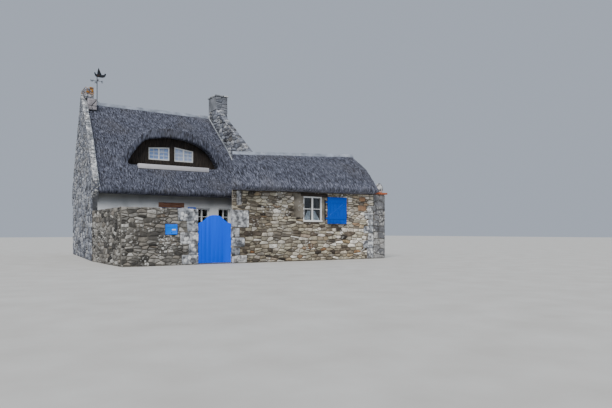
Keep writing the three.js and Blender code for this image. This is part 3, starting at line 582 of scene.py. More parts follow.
def terracotta_material():
    material, tree = new_material("terracotta")
    where = placed(tree)
    mottle = cloud(tree, where, 18.0, 5.0)
    colour = ramp(tree, mottle, [(0.35, "8f4a2e"), (0.55, "b4633e"), (0.75, "c98562")])
    surface(tree, colour, 0.85, height=mottle, depth=0.003, strength=0.6)
    return material


def floor_material():
    material, tree = new_material("pale_floor")
    grit = cloud(tree, placed(tree), 1.5, 4.0)
    colour = ramp(tree, grit, [(0.3, "c2c0bb"), (0.7, "cecdc9")])
    surface(tree, colour, 0.9)
    return material


RENDER = render_material()
BLUE_BOARDS = painted_wood("blue_boards_paint", "005cff", "0062ff", "0054dc", 0.25, 0.6, gloss=0.05)
# The light blue on this paint's worn edges is partly wear and partly a painted highlight along boards,
# ledges and brace.
SHUTTER_BLUE = painted_wood("blue_shutter_paint", "0046bc", "0050c6", "6aa5e6", 0.38, 0.6, gloss=0.05)
BLUE_METAL = painted_wood("blue_metal_paint", "0078fa", "007eff", "2a68b4", 0.3, 0.5, gloss=0.1)
WHITE_PAINT = painted_wood("white_gloss_paint", "eceeee", "dcdedd", "b9b4aa", 0.3)
LEDGE_PAINT = painted_wood("weathered_white_paint", "d3d2d6", "bcbabf", "8a857f", 0.42)
dark_wood = palette((0.3, 0.5, 0.62, 0.8), "120f0c 26201b 3d332b 5a4f46")
oak_wood = palette((0.3, 0.5, 0.65, 0.85), "120e0b 2a221c 453a31 6c6056")
red_wood = palette((0.3, 0.5, 0.65, 0.85), "4a3026 775341 926b56 ac8b76")
floor_wood = palette((0.3, 0.5, 0.7, 0.9), "5b452f 8a6c4c a98a66 bda283")
DARK_TIMBER = timber("dark_weathered_timber", dark_wood, (70, 70, 4))
BEAM_TIMBER = timber("old_oak_beam", oak_wood, (4, 70, 70))
RED_TIMBER = timber("red_brown_beam", red_wood, (4, 60, 60))
FLOOR_BOARDS = timber("floor_boards", floor_wood, (3, 50, 50))
IRON = iron_material()
GLASS = glass_material("window_glass", "dfe7ec", "c6d0d8", 1.0, gloss=0.15)
post_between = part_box("dormer_window_right_frame")[0].x - 0.05
# The dormer's glass: its colours are a painted sky reflection, pale blue, and almost white on the right
# window.
SKY_GLASS = glass_material("glass_with_painted_sky_reflection", "a8c6fa", "e3ecfb", 0.15, painted_reflection_from=post_between)
CLOTH = cloth_material()
TERRACOTTA = terracotta_material()
floor_mesh.materials.append(floor_material())
print("materials", len(bpy.data.materials))

# %% [markdown]
# ## Helpers for meshes
# A solid of the frame comes as loose triangles. A copy is merged and its flat faces are dissolved
# into one polygon each, so that the operators see a wall and not a fan of triangles. When a piece is
# done it becomes an object at the origin, rides on its body and, where it stands for a plain solid,
# hides that solid.


# %% Helpers for meshes
AXES = Matrix.Identity(3)
UPRIGHT = Matrix.Rotation(math.radians(90), 4, "X")  # turns what lies flat to face the street


def merged(node):
    """A bmesh copy of a node with its doubles merged and its flat faces whole."""
    made = bmesh.new()
    made.from_mesh(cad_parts[node].data)
    bmesh.ops.remove_doubles(made, verts=made.verts, dist=1e-5)
    bmesh.ops.dissolve_limit(made, angle_limit=math.radians(0.4), verts=made.verts, edges=made.edges)
    return made


def cut(made, point, normal, geom=None, dist=1e-5, **more):
    """Cuts a mesh, or the given part of it, along a plane."""
    geom = geom or made.verts[:] + made.edges[:] + made.faces[:]
    return bmesh.ops.bisect_plane(made, geom=geom, dist=dist, plane_co=point, plane_no=normal, **more)


def held_in(point, low, high, margin=0.001):
    """The place nearest to a point that is inside a box by the margin."""
    return Vector([min(max(c, a + margin), b - margin) for c, a, b in zip(point, low, high)])


def into_object(name, made, materials):
    mesh = bpy.data.meshes.new(name)
    made.to_mesh(mesh)
    made.free()
    if "custom_normal" in mesh.attributes:
        mesh.attributes.remove(mesh.attributes["custom_normal"])
    for material in materials:
        mesh.materials.append(material)
    obj = bpy.data.objects.new(name, mesh)
    bpy.context.scene.collection.objects.link(obj)
    return obj


def as_built(obj):
    """A bmesh of an object with its modifiers in effect. The object itself is removed."""
    built = obj.evaluated_get(bpy.context.evaluated_depsgraph_get())
    made = bmesh.new()
    made.from_mesh(built.to_mesh())
    built.to_mesh_clear()
    bpy.data.objects.remove(obj)
    return made


def finished(name, made, materials, stands_for=(), body="cottage", smooth=32):
    """Makes a bmesh a piece of the cottage, smooth where its faces meet at less than the angle."""
    obj = into_object(name, made, materials)
    obj.data.polygons.foreach_set("use_smooth", [True] * len(obj.data.polygons))
    obj.data.set_sharp_from_angle(angle=math.radians(smooth))
    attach(obj, body)
    if stands_for:
        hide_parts(*stands_for)
    print(name, len(obj.data.polygons), "faces")
    return obj


def face_values(made, name):
    """The layer that stores one number a face. A new layer makes older references to faces stale."""
    return made.faces.layers.float.get(name) or made.faces.layers.float.new(name)


def bevel(made, geom, width, affect, segments):
    return bmesh.ops.bevel(
        made,
        geom=geom,
        offset=width,
        offset_type="OFFSET",
        segments=segments,
        profile=0.5,
        affect=affect,
        clamp_overlap=True,
        material=-1,
    )


def round_edges(made, width, segments=2, angle=30):
    """Bevels the edges that are sharper than the angle, and stores 1 in the attribute edge on the rounded
    faces, for the paint to wear there, and for the shutter paint's painted highlight."""
    worn = face_values(made, "edge")
    sharp = [e for e in made.edges if e.is_manifold and e.calc_face_angle(0) > math.radians(angle)]
    for face in bevel(made, sharp, width, "EDGES", segments)["faces"]:
        face[worn] = 1.0


def slice_along(made, axis, step):
    """Cuts a mesh across one axis every step, so that it can bend and roughen there."""
    low = min(v.co[axis] for v in made.verts)
    high = max(v.co[axis] for v in made.verts)
    at = low + step
    while at < high - step * 0.3:
        cut(made, AXES[axis] * at, AXES[axis])
        at += step


def append(made, other):
    """Moves all of another bmesh into this one."""
    mesh = bpy.data.meshes.new("part")
    other.to_mesh(mesh)
    other.free()
    made.from_mesh(mesh)
    bpy.data.meshes.remove(mesh)


def give_material(made, index):
    """Gives all faces one place in a list of materials."""
    for face in made.faces:
        face.material_index = index


def cube(made, low, high):
    """A block between two corners."""
    size = Vector(high) - Vector(low)
    place = Matrix.Translation((Vector(low) + Vector(high)) / 2) @ Matrix.Diagonal((*size, 1))
    bmesh.ops.create_cube(made, size=1, matrix=place)


# %% [markdown]
# ## Rubble walling
# No two stones of a rubble wall are alike, but most of them lie flat and in rough courses. The model
# gets there in steps. The middles of the stones are put down in uneven rows. Round each middle a flat
# cell is cut with bisect_plane, half way to every neighbour, and noise bends the joints. Then every
# cell is shrunk, so that a joint opens round it, its corners are cut off, it is extruded to the
# thickness of a stone, and its face is drawn in and raised in rings, to a low dome. Stones that cross
# the wall's outline or an opening are cut there, so the same function dresses gables, jambs and slopes.
# The wall behind is a copy of the plain solid with that face moved in, so the stones end where the
# solid did and the cottage keeps its size.

# %% Where a wall faces
SIDES = {
    "front": Vector((0, -1, 0)),
    "right": Vector((1, 0, 0)),
    "back": Vector((0, 1, 0)),
    "left": Vector((-1, 0, 0)),
}
JOINT = 0.022  # between stones
RELIEF = 0.030  # from the mortar to the stones' faces
NEIGHBOURS = 12  # that can cut a stone's cell
THINNEST_STONE = 0.024
SMALLEST_STONE = 0.0010  # square metres
CUT_CORNER = 0.026
STONE, BLOCK, SMEAR = 1, 2, 3  # places in the list of a wall's materials, after its mortar


def turn_to(normal):
    """The turn that brings a panel drawn facing -Y to a normal, with its courses level."""
    along = Vector((-normal.y, normal.x, 0)) if abs(normal.z) < 0.999 else Vector((1, 0, 0))
    along.normalize()
    return Matrix((along, -normal, along.cross(-normal))).transposed().to_4x4()


def slanting(slant, toward):
    """The normal of a wall that runs aside by slant for each metre back."""
    return Vector((toward, -toward * slant, 0)).normalized()


def flat_sides(made, side, reach=0.002):
    """The flat faces that look to a side, in one list for each plane. A side is a name, a normal, or
    "up" for tops and slopes. Planes that stand back from the outermost by more than reach are left."""
    toward = SIDES.get(side, side) if isinstance(side, str) else side
    planes = {}
    for face in made.faces:
        if face.normal.z > 0.3 if side == "up" else face.normal.dot(toward) > 0.999:
            place = face.verts[0].co.dot(face.normal)
            key = (*(round(c, 2) for c in face.normal), round(place * 250))
            planes.setdefault(key, (place, face.normal.copy(), []))[2].append(face)
    if side == "up" or not planes:
        return [(normal, faces) for _, normal, faces in planes.values()]
    outermost = max(place for place, _, _ in planes.values())
    return [(n, faces) for place, n, faces in planes.values() if place > outermost - reach]


def span(face):
    xs = [v.co.x for v in face.verts]
    zs = [v.co.z for v in face.verts]
    return min(xs), max(xs), min(zs), max(zs)


def stone_middles(x0, x1, z0, z1, wide, tall, rng):
    """The middles of the stones, in rows of uneven height. Here and there two thin stones share the
    height of a row."""
    middles = []
    z = z0 - tall * rng.random()
    while z < z1 + tall:
        high = tall * rng.choice((0.7, 0.85, 1.0, 1.2, 1.6))
        x = x0 - wide * rng.random()
        while x < x1 + wide:
            long = wide * rng.choice((0.45, 0.65, 0.85, 1.1, 1.5)) * (0.6 + 0.4 * high / tall)
            lift = rng.uniform(-0.22, 0.22) * high
            if rng.random() < 0.22 * high / tall:
                middles.append((x + long * 0.45, z + high * 0.24 + lift * 0.4))
                middles.append((x + long * 0.55, z + high * 0.76 + lift * 0.4))
            else:
                middles.append((x + long / 2, z + high / 2 + lift))
            x += long
        z += high
    return middles


def stone_cells(x0, x1, z0, z1, wide, tall, rng):
    """A flat panel of cells, each cut out half way to its neighbours."""
    middles = stone_middles(x0, x1, z0, z1, wide, tall, rng)
    squeeze = tall / wide * 1.15
    near = KDTree(len(middles))
    for index, (x, z) in enumerate(middles):
        near.insert((x * squeeze, 0, z), index)
    near.balance()
    made = bmesh.new()
    largest = UPRIGHT @ Matrix.Diagonal((wide * 4, tall * 5, 1, 1))
    for x, z in middles:
        cell = bmesh.new()
        bmesh.ops.create_grid(cell, x_segments=1, y_segments=1, size=0.5, matrix=largest)
        bmesh.ops.translate(cell, verts=cell.verts, vec=(x, 0, z))
        for _, other, _ in near.find_n((x * squeeze, 0, z), NEIGHBOURS + 1)[1:]:
            across, up = middles[other][0] - x, middles[other][1] - z
            half_way = (x + across / 2, 0, z + up / 2)
            cut(cell, half_way, (across * squeeze * squeeze, 0, up), clear_outer=True)
        append(made, cell)
    return made


def bend_joints(made, x0, x1, z0, z1, amount, seed):
    """Moves the joints sideways with noise, and leaves the panel's border straight."""
    for vert in made.verts:
        edge = min(vert.co.x - x0, x1 - vert.co.x, vert.co.z - z0, z1 - vert.co.z)
        free = min(1.0, max(0.0, edge / 0.08))
        drift = noise.noise_vector(vert.co * 2.6 + Vector((seed * 7.3, 0, seed * 3.9)))
        vert.co.x += drift.x * amount * free
        vert.co.z += drift.z * amount * free


def cut_near(made, x0, x1, z0, z1, point, normal):
    """Cuts the faces that reach into a window, and leaves the others whole."""
    geom = {}  # its keys keep their order, as a set's would not
    for face in made.faces:
        a, b, c, d = span(face)
        if b > x0 and a < x1 and d > z0 and c < z1:
            geom.update(dict.fromkeys((face, *face.edges, *face.verts)))
    if geom:
        cut(made, point, normal, geom=list(geom), dist=1e-4)


def trim_to(made, wall):
    """Cuts the stones along the wall's outline and drops what lies outside it."""
    tree = BVHTree.FromBMesh(wall)
    for edge in wall.edges:
        if edge.is_boundary:
            a, b = edge.verts[0].co, edge.verts[1].co
            along = (b - a).normalized()
            xs, zs = sorted((a.x, b.x)), sorted((a.z, b.z))
            window = (xs[0] - 0.02, xs[1] + 0.02, zs[0] - 0.02, zs[1] + 0.02)
            cut_near(made, *window, a, (-along.z, 0, along.x))
    outside = []
    for face in made.faces:
        centre = face.calc_center_median()
        if tree.ray_cast(centre + Vector((0, -1, 0)), Vector((0, 1, 0)))[0] is None:
            outside.append(face)
    bmesh.ops.delete(made, geom=outside, context="FACES")


def keep_clear(made, boxes):
    """Cuts the stones round places that a bigger stone or a render takes, and drops those inside."""
    for x0, x1, z0, z1 in boxes:
        for x in (x0, x1):
            cut_near(made, x0, x1, z0, z1, (x, 0, 0), (1, 0, 0))
        for z in (z0, z1):
            cut_near(made, x0, x1, z0, z1, (0, 0, z), (0, 0, 1))
        inside = []
        for face in made.faces:
            c = face.calc_center_median()
            if x0 < c.x < x1 and z0 < c.z < z1:
                inside.append(face)
        bmesh.ops.delete(made, geom=inside, context="FACES")


FULL = ((0.5, 1.0), (0.84, 0.9), (1.0, 0.62))
PLAINER = ((0.62, 1.0), (1.0, 0.80))


def by_place(faces):
    """Faces in an order that depends only on where they lie, so that each run draws alike."""

    def place(face):
        centre = face.calc_center_median()
        return round(centre.x, 4), round(centre.z, 4), round(centre.y, 4)

    return sorted(faces, key=place)


def raise_stones(made, rng, rings):
    """Opens the joints and turns each flat cell into a stone with cut corners and a domed face. The
    rings of the dome are pairs: the share of the height, and the share of the width."""
    bmesh.ops.dissolve_limit(made, angle_limit=math.radians(9), verts=made.verts, edges=made.edges)
    cells = {face: span(face) for face in made.faces}
    rims = bmesh.ops.inset_individual(made, faces=made.faces[:], thickness=JOINT / 2, use_even_offset=True)
    bmesh.ops.delete(made, geom=rims["faces"], context="FACES")
    slivers = []
    for face in made.faces:
        a, b, c, d = cells[face]
        x0, x1, z0, z1 = span(face)
        turned_over = x0 < a or x1 > b or z0 < c or z1 > d
        if turned_over or min(x1 - x0, z1 - z0) < THINNEST_STONE or face.calc_area() < SMALLEST_STONE:
            slivers.append(face)
    bmesh.ops.delete(made, geom=slivers, context="FACES")
    bevel(made, made.verts[:], CUT_CORNER, "VERTICES", 1)
    lifted = bmesh.ops.extrude_face_region(made, geom=made.faces[:], use_keep_orig=True)
    tops = by_place(g for g in lifted["geom"] if isinstance(g, bmesh.types.BMFace))
    heights = [RELIEF * rng.uniform(0.55, 0.95) for _ in tops]
    for share, shrink in rings:
        if shrink < 1:
            bmesh.ops.inset_individual(made, faces=tops, thickness=0)
        for face, height in zip(tops, heights):
            centre = face.calc_center_median()
            for vert in face.verts:
                vert.co.x = centre.x + (vert.co.x - centre.x) * shrink
                vert.co.z = centre.z + (vert.co.z - centre.z) * shrink
                rough = noise.noise(vert.co * 9.0) * 0.010
                vert.co.y = -height * share + rough * share
    bmesh.ops.poke(made, faces=tops, offset=0.002)
    bmesh.ops.recalc_face_normals(made, faces=made.faces)
    for vert in made.verts:
        vert.co.y = min(0, max(vert.co.y, -RELIEF))


def tone_stones(made, rng):
    """Gives all faces of one stone the same random tone."""
    layer = face_values(made, "tone")
    seen = set()
    for start in by_place(made.faces):
        if start in seen:
            continue
        tone = rng.random()
        waiting = [start]
        seen.add(start)
        while waiting:
            face = waiting.pop()
            face[layer] = tone
            for edge in face.edges:
                for other in edge.link_faces:
                    if other not in seen:
                        seen.add(other)
                        waiting.append(other)


def stones_on(wall, turn, size, seed, reserved, rings):
    """A mesh of stones for some flat faces of a wall, given as a bmesh of those faces alone."""
    back = turn.inverted()
    bmesh.ops.transform(wall, matrix=back, verts=wall.verts)
    plane = wall.verts[:][0].co.y
    bmesh.ops.translate(wall, verts=wall.verts, vec=(0, -plane, 0))
    xs = [v.co.x for v in wall.verts]
    zs = [v.co.z for v in wall.verts]
    x0, x1, z0, z1 = min(xs), max(xs), min(zs), max(zs)
    rng = random.Random(seed)
    wide, tall = size
    made = stone_cells(x0, x1, z0, z1, wide, tall, rng)
    bend_joints(made, x0, x1, z0, z1, tall * 0.3, seed)
    trim_to(made, wall)
    boxes = []
    for low, high in reserved:
        a, b = back @ Vector(low), back @ Vector(high)
        boxes.append((min(a.x, b.x), max(a.x, b.x), min(a.z, b.z), max(a.z, b.z)))
    keep_clear(made, boxes)
    raise_stones(made, rng, rings)
    tone_stones(made, rng)
    bmesh.ops.translate(made, verts=made.verts, vec=(0, plane + RELIEF, 0))
    bmesh.ops.transform(made, matrix=turn, verts=made.verts)
    wall.free()
    return made


def only(made, faces):
    """A bmesh of some faces of another."""
    made.faces.index_update()
    keep = {f.index for f in faces}
    copy = made.copy()
    copy.faces.ensure_lookup_table()
    spare = [f for f in copy.faces if f.index not in keep]
    bmesh.ops.delete(copy, geom=spare, context="FACES")
    return copy


def inward(normals, depth):
    """The move that brings a corner in by the same depth from each of its faces."""
    if len(normals) == 1:
        return -normals[0] * depth
    if len(normals) == 2:
        return -(normals[0] + normals[1]) * depth / (1 + normals[0].dot(normals[1]))
    return Matrix(normals[:3]).inverted_safe() @ Vector((-depth, -depth, -depth))


def rubble_wall(
    node, sides, size, finish, seed, reserved=(), covered=None, extra=None, rings=FULL
):
    """Replaces a wall by its mortar core and the stones on the sides that show. Each side goes to
    flat_sides, with its reach where it is a pair. The finish is that of the stones and of the mortar.
    Covered gives boxes on one side that the thatch hides, which stay bare."""
    stone, bed = finish
    core = merged(node)
    face_values(core, "tone")
    face_values(core, "edge")
    panels = []
    for side in sides:
        side = side if isinstance(side, tuple) else (side,)
        for normal, faces in flat_sides(core, *side):
            panels.append((only(core, faces), normal, faces))
    corners = {}
    for _, normal, faces in panels:
        for vert in dict.fromkeys(v for f in faces for v in f.verts):
            corners.setdefault(vert, []).append(normal)
    for vert, normals in corners.items():
        vert.co += inward(normals, RELIEF)
    for number, (wall, normal, _) in enumerate(panels):
        clear = list(reserved)
        for name, boxes in (covered or {}).items():
            clear += boxes if normal.dot(SIDES[name]) > 0.99 else []
        made = stones_on(wall, turn_to(normal), size, seed * 31 + number, clear, rings)
        give_material(made, STONE)
        append(core, made)
    if extra:
        extra(core)
    finished(node + "_stonework", core, [bed, stone, GRANITE, SHADE_DARKENED_RENDER], [node], smooth=48)


# %% [markdown]
# ## The walls of the front wing
# The street wall is warm rubble. It has big pale blocks at its left corner beside the gate, one
# upright stone above them, smaller quoins and two rusty stones on the right, and grey render smeared
# beside the window. Those places are kept clear of rubble, and the blocks are laid there as bevelled
# cubes.

# %% Build the front wing's walls
def blocks(made, places, index, rng, tone=None):
    """Dressed blocks between pairs of corners, with rounded arrises."""
    for low, high in places:
        single = bmesh.new()
        cube(single, low, high)
        for vert in single.verts:
            vert.co += Vector([rng.uniform(-1, 1) * s for s in (0.018, 0.0, 0.018)])
        round_edges(single, 0.034, segments=3)
        layer = face_values(single, "tone")
        drawn = rng.random()
        for face in single.faces:
            face[layer] = drawn if tone is None else tone
        give_material(single, index)
        append(made, single)


WING_END = slanting(0.5125, -1)  # the wing's left end runs slanting back


def in_wall(*places, deep=0.12):
    """Blocks in the street wall from (x0, x1, z0, z1), measured from its left corner."""
    near, far = street_corner.y + 0.001, street_corner.y + deep
    left = street_corner.x
    return [((left + x0, near, z0), (left + x1, far, z1)) for x0, x1, z0, z1 in places]


BLOCKS_LEFT = 0.015  # of every corner block
CORNER_BLOCKS = in_wall(
    (BLOCKS_LEFT, 0.60, 1.10, 1.64),
    (BLOCKS_LEFT, 0.26, 0.80, 1.09),
    (BLOCKS_LEFT, 0.46, 0.50, 0.79),
    (BLOCKS_LEFT, 0.28, 0.24, 0.49),
    (BLOCKS_LEFT, 0.52, 0.01, 0.23),
    (0.17, 0.34, 1.79, 2.24),
)
QUOINS_RIGHT = 5.655  # of every quoin
RIGHT_QUOINS = in_wall(
    (5.38, QUOINS_RIGHT, 1.66, 1.90),
    (5.24, QUOINS_RIGHT, 1.42, 1.65),
    (5.41, QUOINS_RIGHT, 1.18, 1.41),
    (5.21, QUOINS_RIGHT, 0.92, 1.17),
    (5.40, QUOINS_RIGHT, 0.66, 0.91),
    (5.18, QUOINS_RIGHT, 0.38, 0.65),
    (5.36, QUOINS_RIGHT, 0.02, 0.37),
)
RUSTY_STONES = in_wall((4.99, 5.28, 2.04, 2.22), (4.96, 5.32, 1.71, 1.90))
PATCHES = in_wall((2.26, 2.60, 1.46, 2.25), (3.385, 3.48, 1.25, 2.14), deep=0.03)


def smeared(made, low, high, past):
    """Render smeared over a place in the wall and past its edge, where it thins out ragged."""
    skin = bmesh.new()
    bmesh.ops.create_grid(skin, x_segments=9, y_segments=20, size=0.5, matrix=UPRIGHT)
    border = {v for v in skin.verts if v.is_boundary}
    for vert in skin.verts:
        x = low[0] - past + (high[0] - low[0] + 2 * past) * (vert.co.x + 0.5)
        z = low[2] - past + (high[2] - low[2] + past) * (vert.co.z + 0.5)
        drift = noise.noise_vector(Vector((x, 0, z)) * 9.0)
        ragged = 0.045 if vert in border else 0.01
        sink = 0.017 if vert in border else 0.004 + 0.005 * abs(drift.y)
        vert.co = (x + drift.x * ragged, low[1] + sink, min(z + drift.z * ragged, high[2]))
    bmesh.ops.solidify(skin, geom=skin.faces[:], thickness=0.008)
    front = min(v.co.y for v in skin.verts)
    bmesh.ops.translate(skin, verts=skin.verts, vec=(0, max(0.0, low[1] + 0.002 - front), 0))
    bmesh.ops.recalc_face_normals(skin, faces=skin.faces)
    give_material(skin, SMEAR)
    append(made, skin)


def dress_street_wall(core):
    rng = random.Random(5)
    blocks(core, CORNER_BLOCKS + RIGHT_QUOINS, BLOCK, rng)
    blocks(core, RUSTY_STONES, STONE, rng, tone=1.0)
    for patch, past in zip(PATCHES, (0.035, 0.012)):
        smeared(core, *patch, past)


WARM = (WARM_RUBBLE, WALL_MORTAR)
kept_clear = CORNER_BLOCKS + RIGHT_QUOINS + RUSTY_STONES + PATCHES
street_sides = ["front", WING_END, "right"]
rubble_wall("wing_front_wall", street_sides, (0.27, 0.105), WARM, 3, kept_clear, extra=dress_street_wall)
rubble_wall("wing_left_wall", [WING_END], (0.30, 0.13), WARM, 4)
rubble_wall("wing_right_wall", ["right"], (0.32, 0.14), WARM, 6, rings=PLAINER)
rubble_wall("wing_back_wall", ["back", WING_END, "right"], (0.34, 0.15), WARM, 7, rings=PLAINER)

# %% [markdown]
# ## Gables, party wall and garden walls
# The same function dresses the rest. The left gable and the party wall are a cool grey, and the
# garden walls a warmer one, with more lichen on all of them. The party wall's left face shows only
# where it stands above the thatch. Stones that no one sees would be waste, so boxes in steps keep the
# face bare under the roof.

# %% Build the other rubble walls
GABLE_END = slanting(0.1, -1)  # the left gable runs slanting too, but less
GREY = (GREY_RUBBLE, GREY_MORTAR)
COOL = (COOL_RUBBLE, COOL_MORTAR)
rubble_wall("left_gable_wall", [GABLE_END, "front", "back"], (0.30, 0.13), COOL, 8)
thatch_low, thatch_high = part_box("main_thatch_front")
front_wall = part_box("main_front_wall")[0]
back_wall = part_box("main_back_wall")[1]


def under_roof(steps=9):
    """Boxes of (corner, corner) that fill the gable shape under the main roof, for a wall that faces
    along X. Each box ends at the lower of the roof's heights on its two sides."""
    ridge, rise = thatch_high.y, thatch_high.z - thatch_low.z
    boxes = []
    for number in range(steps):
        near = thatch_low.y + (ridge - thatch_low.y) * number / steps
        far = thatch_low.y + (ridge - thatch_low.y) * (number + 1) / steps
        top = thatch_low.z + rise * number / steps
        for a, b in ((near, far), (2 * ridge - far, 2 * ridge - near)):
            a, b = max(a, front_wall.y + 0.02), min(b, back_wall.y - 0.02)
            if a < b:
                boxes.append(((0, a, 0), (0, b, top)))
    return boxes


party_sides = [("right", 0.7), "left", ("front", 4.0), "back", "up"]
hidden = {"left": under_roof()}
rubble_wall("party_wall", party_sides, (0.34, 0.15), COOL, 9, covered=hidden, rings=PLAINER)
rubble_wall("courtyard_side_wall", ["left", "right", "up"], (0.31, 0.135), GREY, 10, rings=PLAINER)

garden_low, garden_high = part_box("garden_wall")
GATE_BLOCKS = []
for wide, z0, z1 in (
    (0.62, 1.28, 1.64),
    (0.34, 0.97, 1.27),
    (0.56, 0.62, 0.96),
    (0.30, 0.30, 0.61),
    (0.50, 0.02, 0.29),
):
    low = (garden_high.x - wide, garden_low.y + 0.001, z0)
    GATE_BLOCKS.append((low, (garden_high.x - 0.001, garden_low.y + 0.2, z1)))


def dress_garden_wall(core):
    blocks(core, GATE_BLOCKS, BLOCK, random.Random(6))


garden_sides = ["front", "back", "left", "right", "up"]
rubble_wall("garden_wall", garden_sides, (0.24, 0.10), GREY, 11, GATE_BLOCKS, extra=dress_garden_wall)

# %% [markdown]
# ## Chimneys, pier and coping
# The left chimney is rubble with orange lichen at its head, on a block of pale stone. The right one is
# smooth grey render on its left face and rubble on the others. The pier at the wing's right end is
# built of squared stones. The coping of the left gable is thick with pale lichen and lime.

# %% Build the chimneys and the pier
three_sides = ["front", "right", "back"]
coping_sides = [GABLE_END, "right", "front", "up"]
pale_blocks = (PALE_BLOCK, COOL_MORTAR)
coping_finish = (COPING_STONE, LIMED_MORTAR)
rubble_wall("left_chimney", ["left", *three_sides, "up"], (0.24, 0.11), (CHIMNEY_STONE, COOL_MORTAR), 12)
rubble_wall("right_chimney", three_sides, (0.30, 0.13), (CALM_RUBBLE, SMOOTH_RENDER), 13)
rubble_wall("right_pier", three_sides, (0.42, 0.24), (PIER_GRANITE, GREY_MORTAR), 14)
rubble_wall("left_chimney_base", [*three_sides, "up"], (0.5, 0.26), pale_blocks, 15)
rubble_wall("left_gable_coping", coping_sides, (0.26, 0.12), coping_finish, 16)

# %% [markdown]
# ## Mortar ridges and fillets
# A thick band of lime mortar closes each ridge, and a narrower one seals the thatch along each verge.
# A copy of the plain band is sliced every hand's breadth, its long edges are rounded, and noise pushes
# the surface in a little, as a trowel leaves it.


# %% Trowel the mortar
def trowelled(node, material, axis, step, width, rough):
    made = merged(node)
    slice_along(made, axis, step)
    round_edges(made, width, segments=3, angle=20)
    low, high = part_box(node)
    for vert in made.verts:
        drift = noise.noise_vector(vert.co * 5.0)
        fine = noise.noise(vert.co * 17.0)
        dent = (abs(drift.x) * 0.7 + abs(fine) * 0.5) * rough
        vert.co = held_in(vert.co - vert.normal * dent, low, high, margin=0.0)
    finished(node + "_trowelled", made, [material], [node], smooth=50)


for node in ("main_ridge_cap", "wing_ridge_cap"):
    trowelled(node, RIDGE_MORTAR, 0, 0.09, 0.03, 0.016)
trowelled("party_wall_fillet", PALE_MORTAR, 1, 0.08, 0.02, 0.012)
for node in ("left_fillet_front", "left_fillet_back"):
    trowelled(node, LIMED_MORTAR, 1, 0.08, 0.02, 0.012)
trowelled("right_chimney_cap", GRANITE, 0, 0.12, 0.012, 0.006)

# %% [markdown]
# ## Reed thatch as a shape
# Thatch has no sharp edge anywhere. A voxel remesh of the plain slope gives an even net of faces,
# smoothing rounds the eaves, the verges and the hood of the dormer, and low noise makes the surface
# as uneven as a hand-laid roof. The Remesh modifier is used because it welds any shape into one skin,
# hood, tunnel and all, which no bevel could round.

# %% Round the thatch
VOXEL = 0.052
SMOOTHINGS = 2
SWELL = 0.004  # makes up for what the smoothing takes off


def softened_thatch(node, seed):
    draft = into_object("draft", merged(node), [])
    remesh = draft.modifiers.new("remesh", "REMESH")
    remesh.mode = "VOXEL"
    remesh.voxel_size = VOXEL
    made = as_built(draft)
    low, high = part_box(node)
    axes = dict(use_axis_x=True, use_axis_y=True, use_axis_z=True)
    for _ in range(SMOOTHINGS):
        bmesh.ops.smooth_vert(made, verts=made.verts, factor=0.5, **axes)
    made.normal_update()
    shift = Vector((seed * 5.1, 0, 0))
    for vert in made.verts:
        place = vert.co + shift
        uneven = noise.noise(place * 1.1) * 0.014 + noise.noise(place * 5.0) * 0.006
        vert.co = held_in(vert.co + vert.normal * (uneven + SWELL), low, high)
    return made


SLOPES = ("main_thatch_front", "main_thatch_back", "wing_thatch_front", "wing_thatch_back")
thatch_skins = {}
for number, node in enumerate(SLOPES):
    made = softened_thatch(node, number)
    reed = WING_THATCH if "wing" in node else THATCH
    thatch_skins[node] = finished(node + "_reed", made, [reed], [node], smooth=180)

# %% [markdown]
# ## Tufts of reed
# Close up, a roof is thousands of reed ends that stand a finger's breadth proud. Geometry Nodes can
# scatter them: points are spread over the faces that look up, each point gets a turn whose Z axis is
# the roof's normal and whose Y axis runs downhill, and one small tuft is placed on each. The result
# is made a plain mesh. Tufts that reach past the eave are pushed back to it, where a thatcher would
# shear them, and those in the way of the dormer's ledge are left out.


# %% Scatter the tufts
def reed_tuft():
    """A flat tuft of reed, 9 cm long: its head lies in the roof and its cut end stands proud."""
    made = bmesh.new()
    bmesh.ops.create_cone(made, cap_ends=True, segments=4, radius1=0.018, radius2=0.011, depth=0.09)
    bmesh.ops.rotate(made, verts=made.verts, matrix=Matrix.Rotation(math.radians(90), 3, "X"))
    bmesh.ops.scale(made, verts=made.verts, vec=(1.0, 1.0, 0.42))
    bmesh.ops.rotate(made, verts=made.verts, matrix=Matrix.Rotation(math.radians(6), 3, "X"))
    return into_object("tuft", made, [])


def drawn_vectors(tree, least, most, seed):
    """A random vector for each point, between two others."""
    made = add(tree, "FunctionNodeRandomValue", {"data_type": "FLOAT_VECTOR"}, Seed=seed)
    put(tree, made.inputs[0], least)
    put(tree, made.inputs[1], most)
    return made.outputs[0]


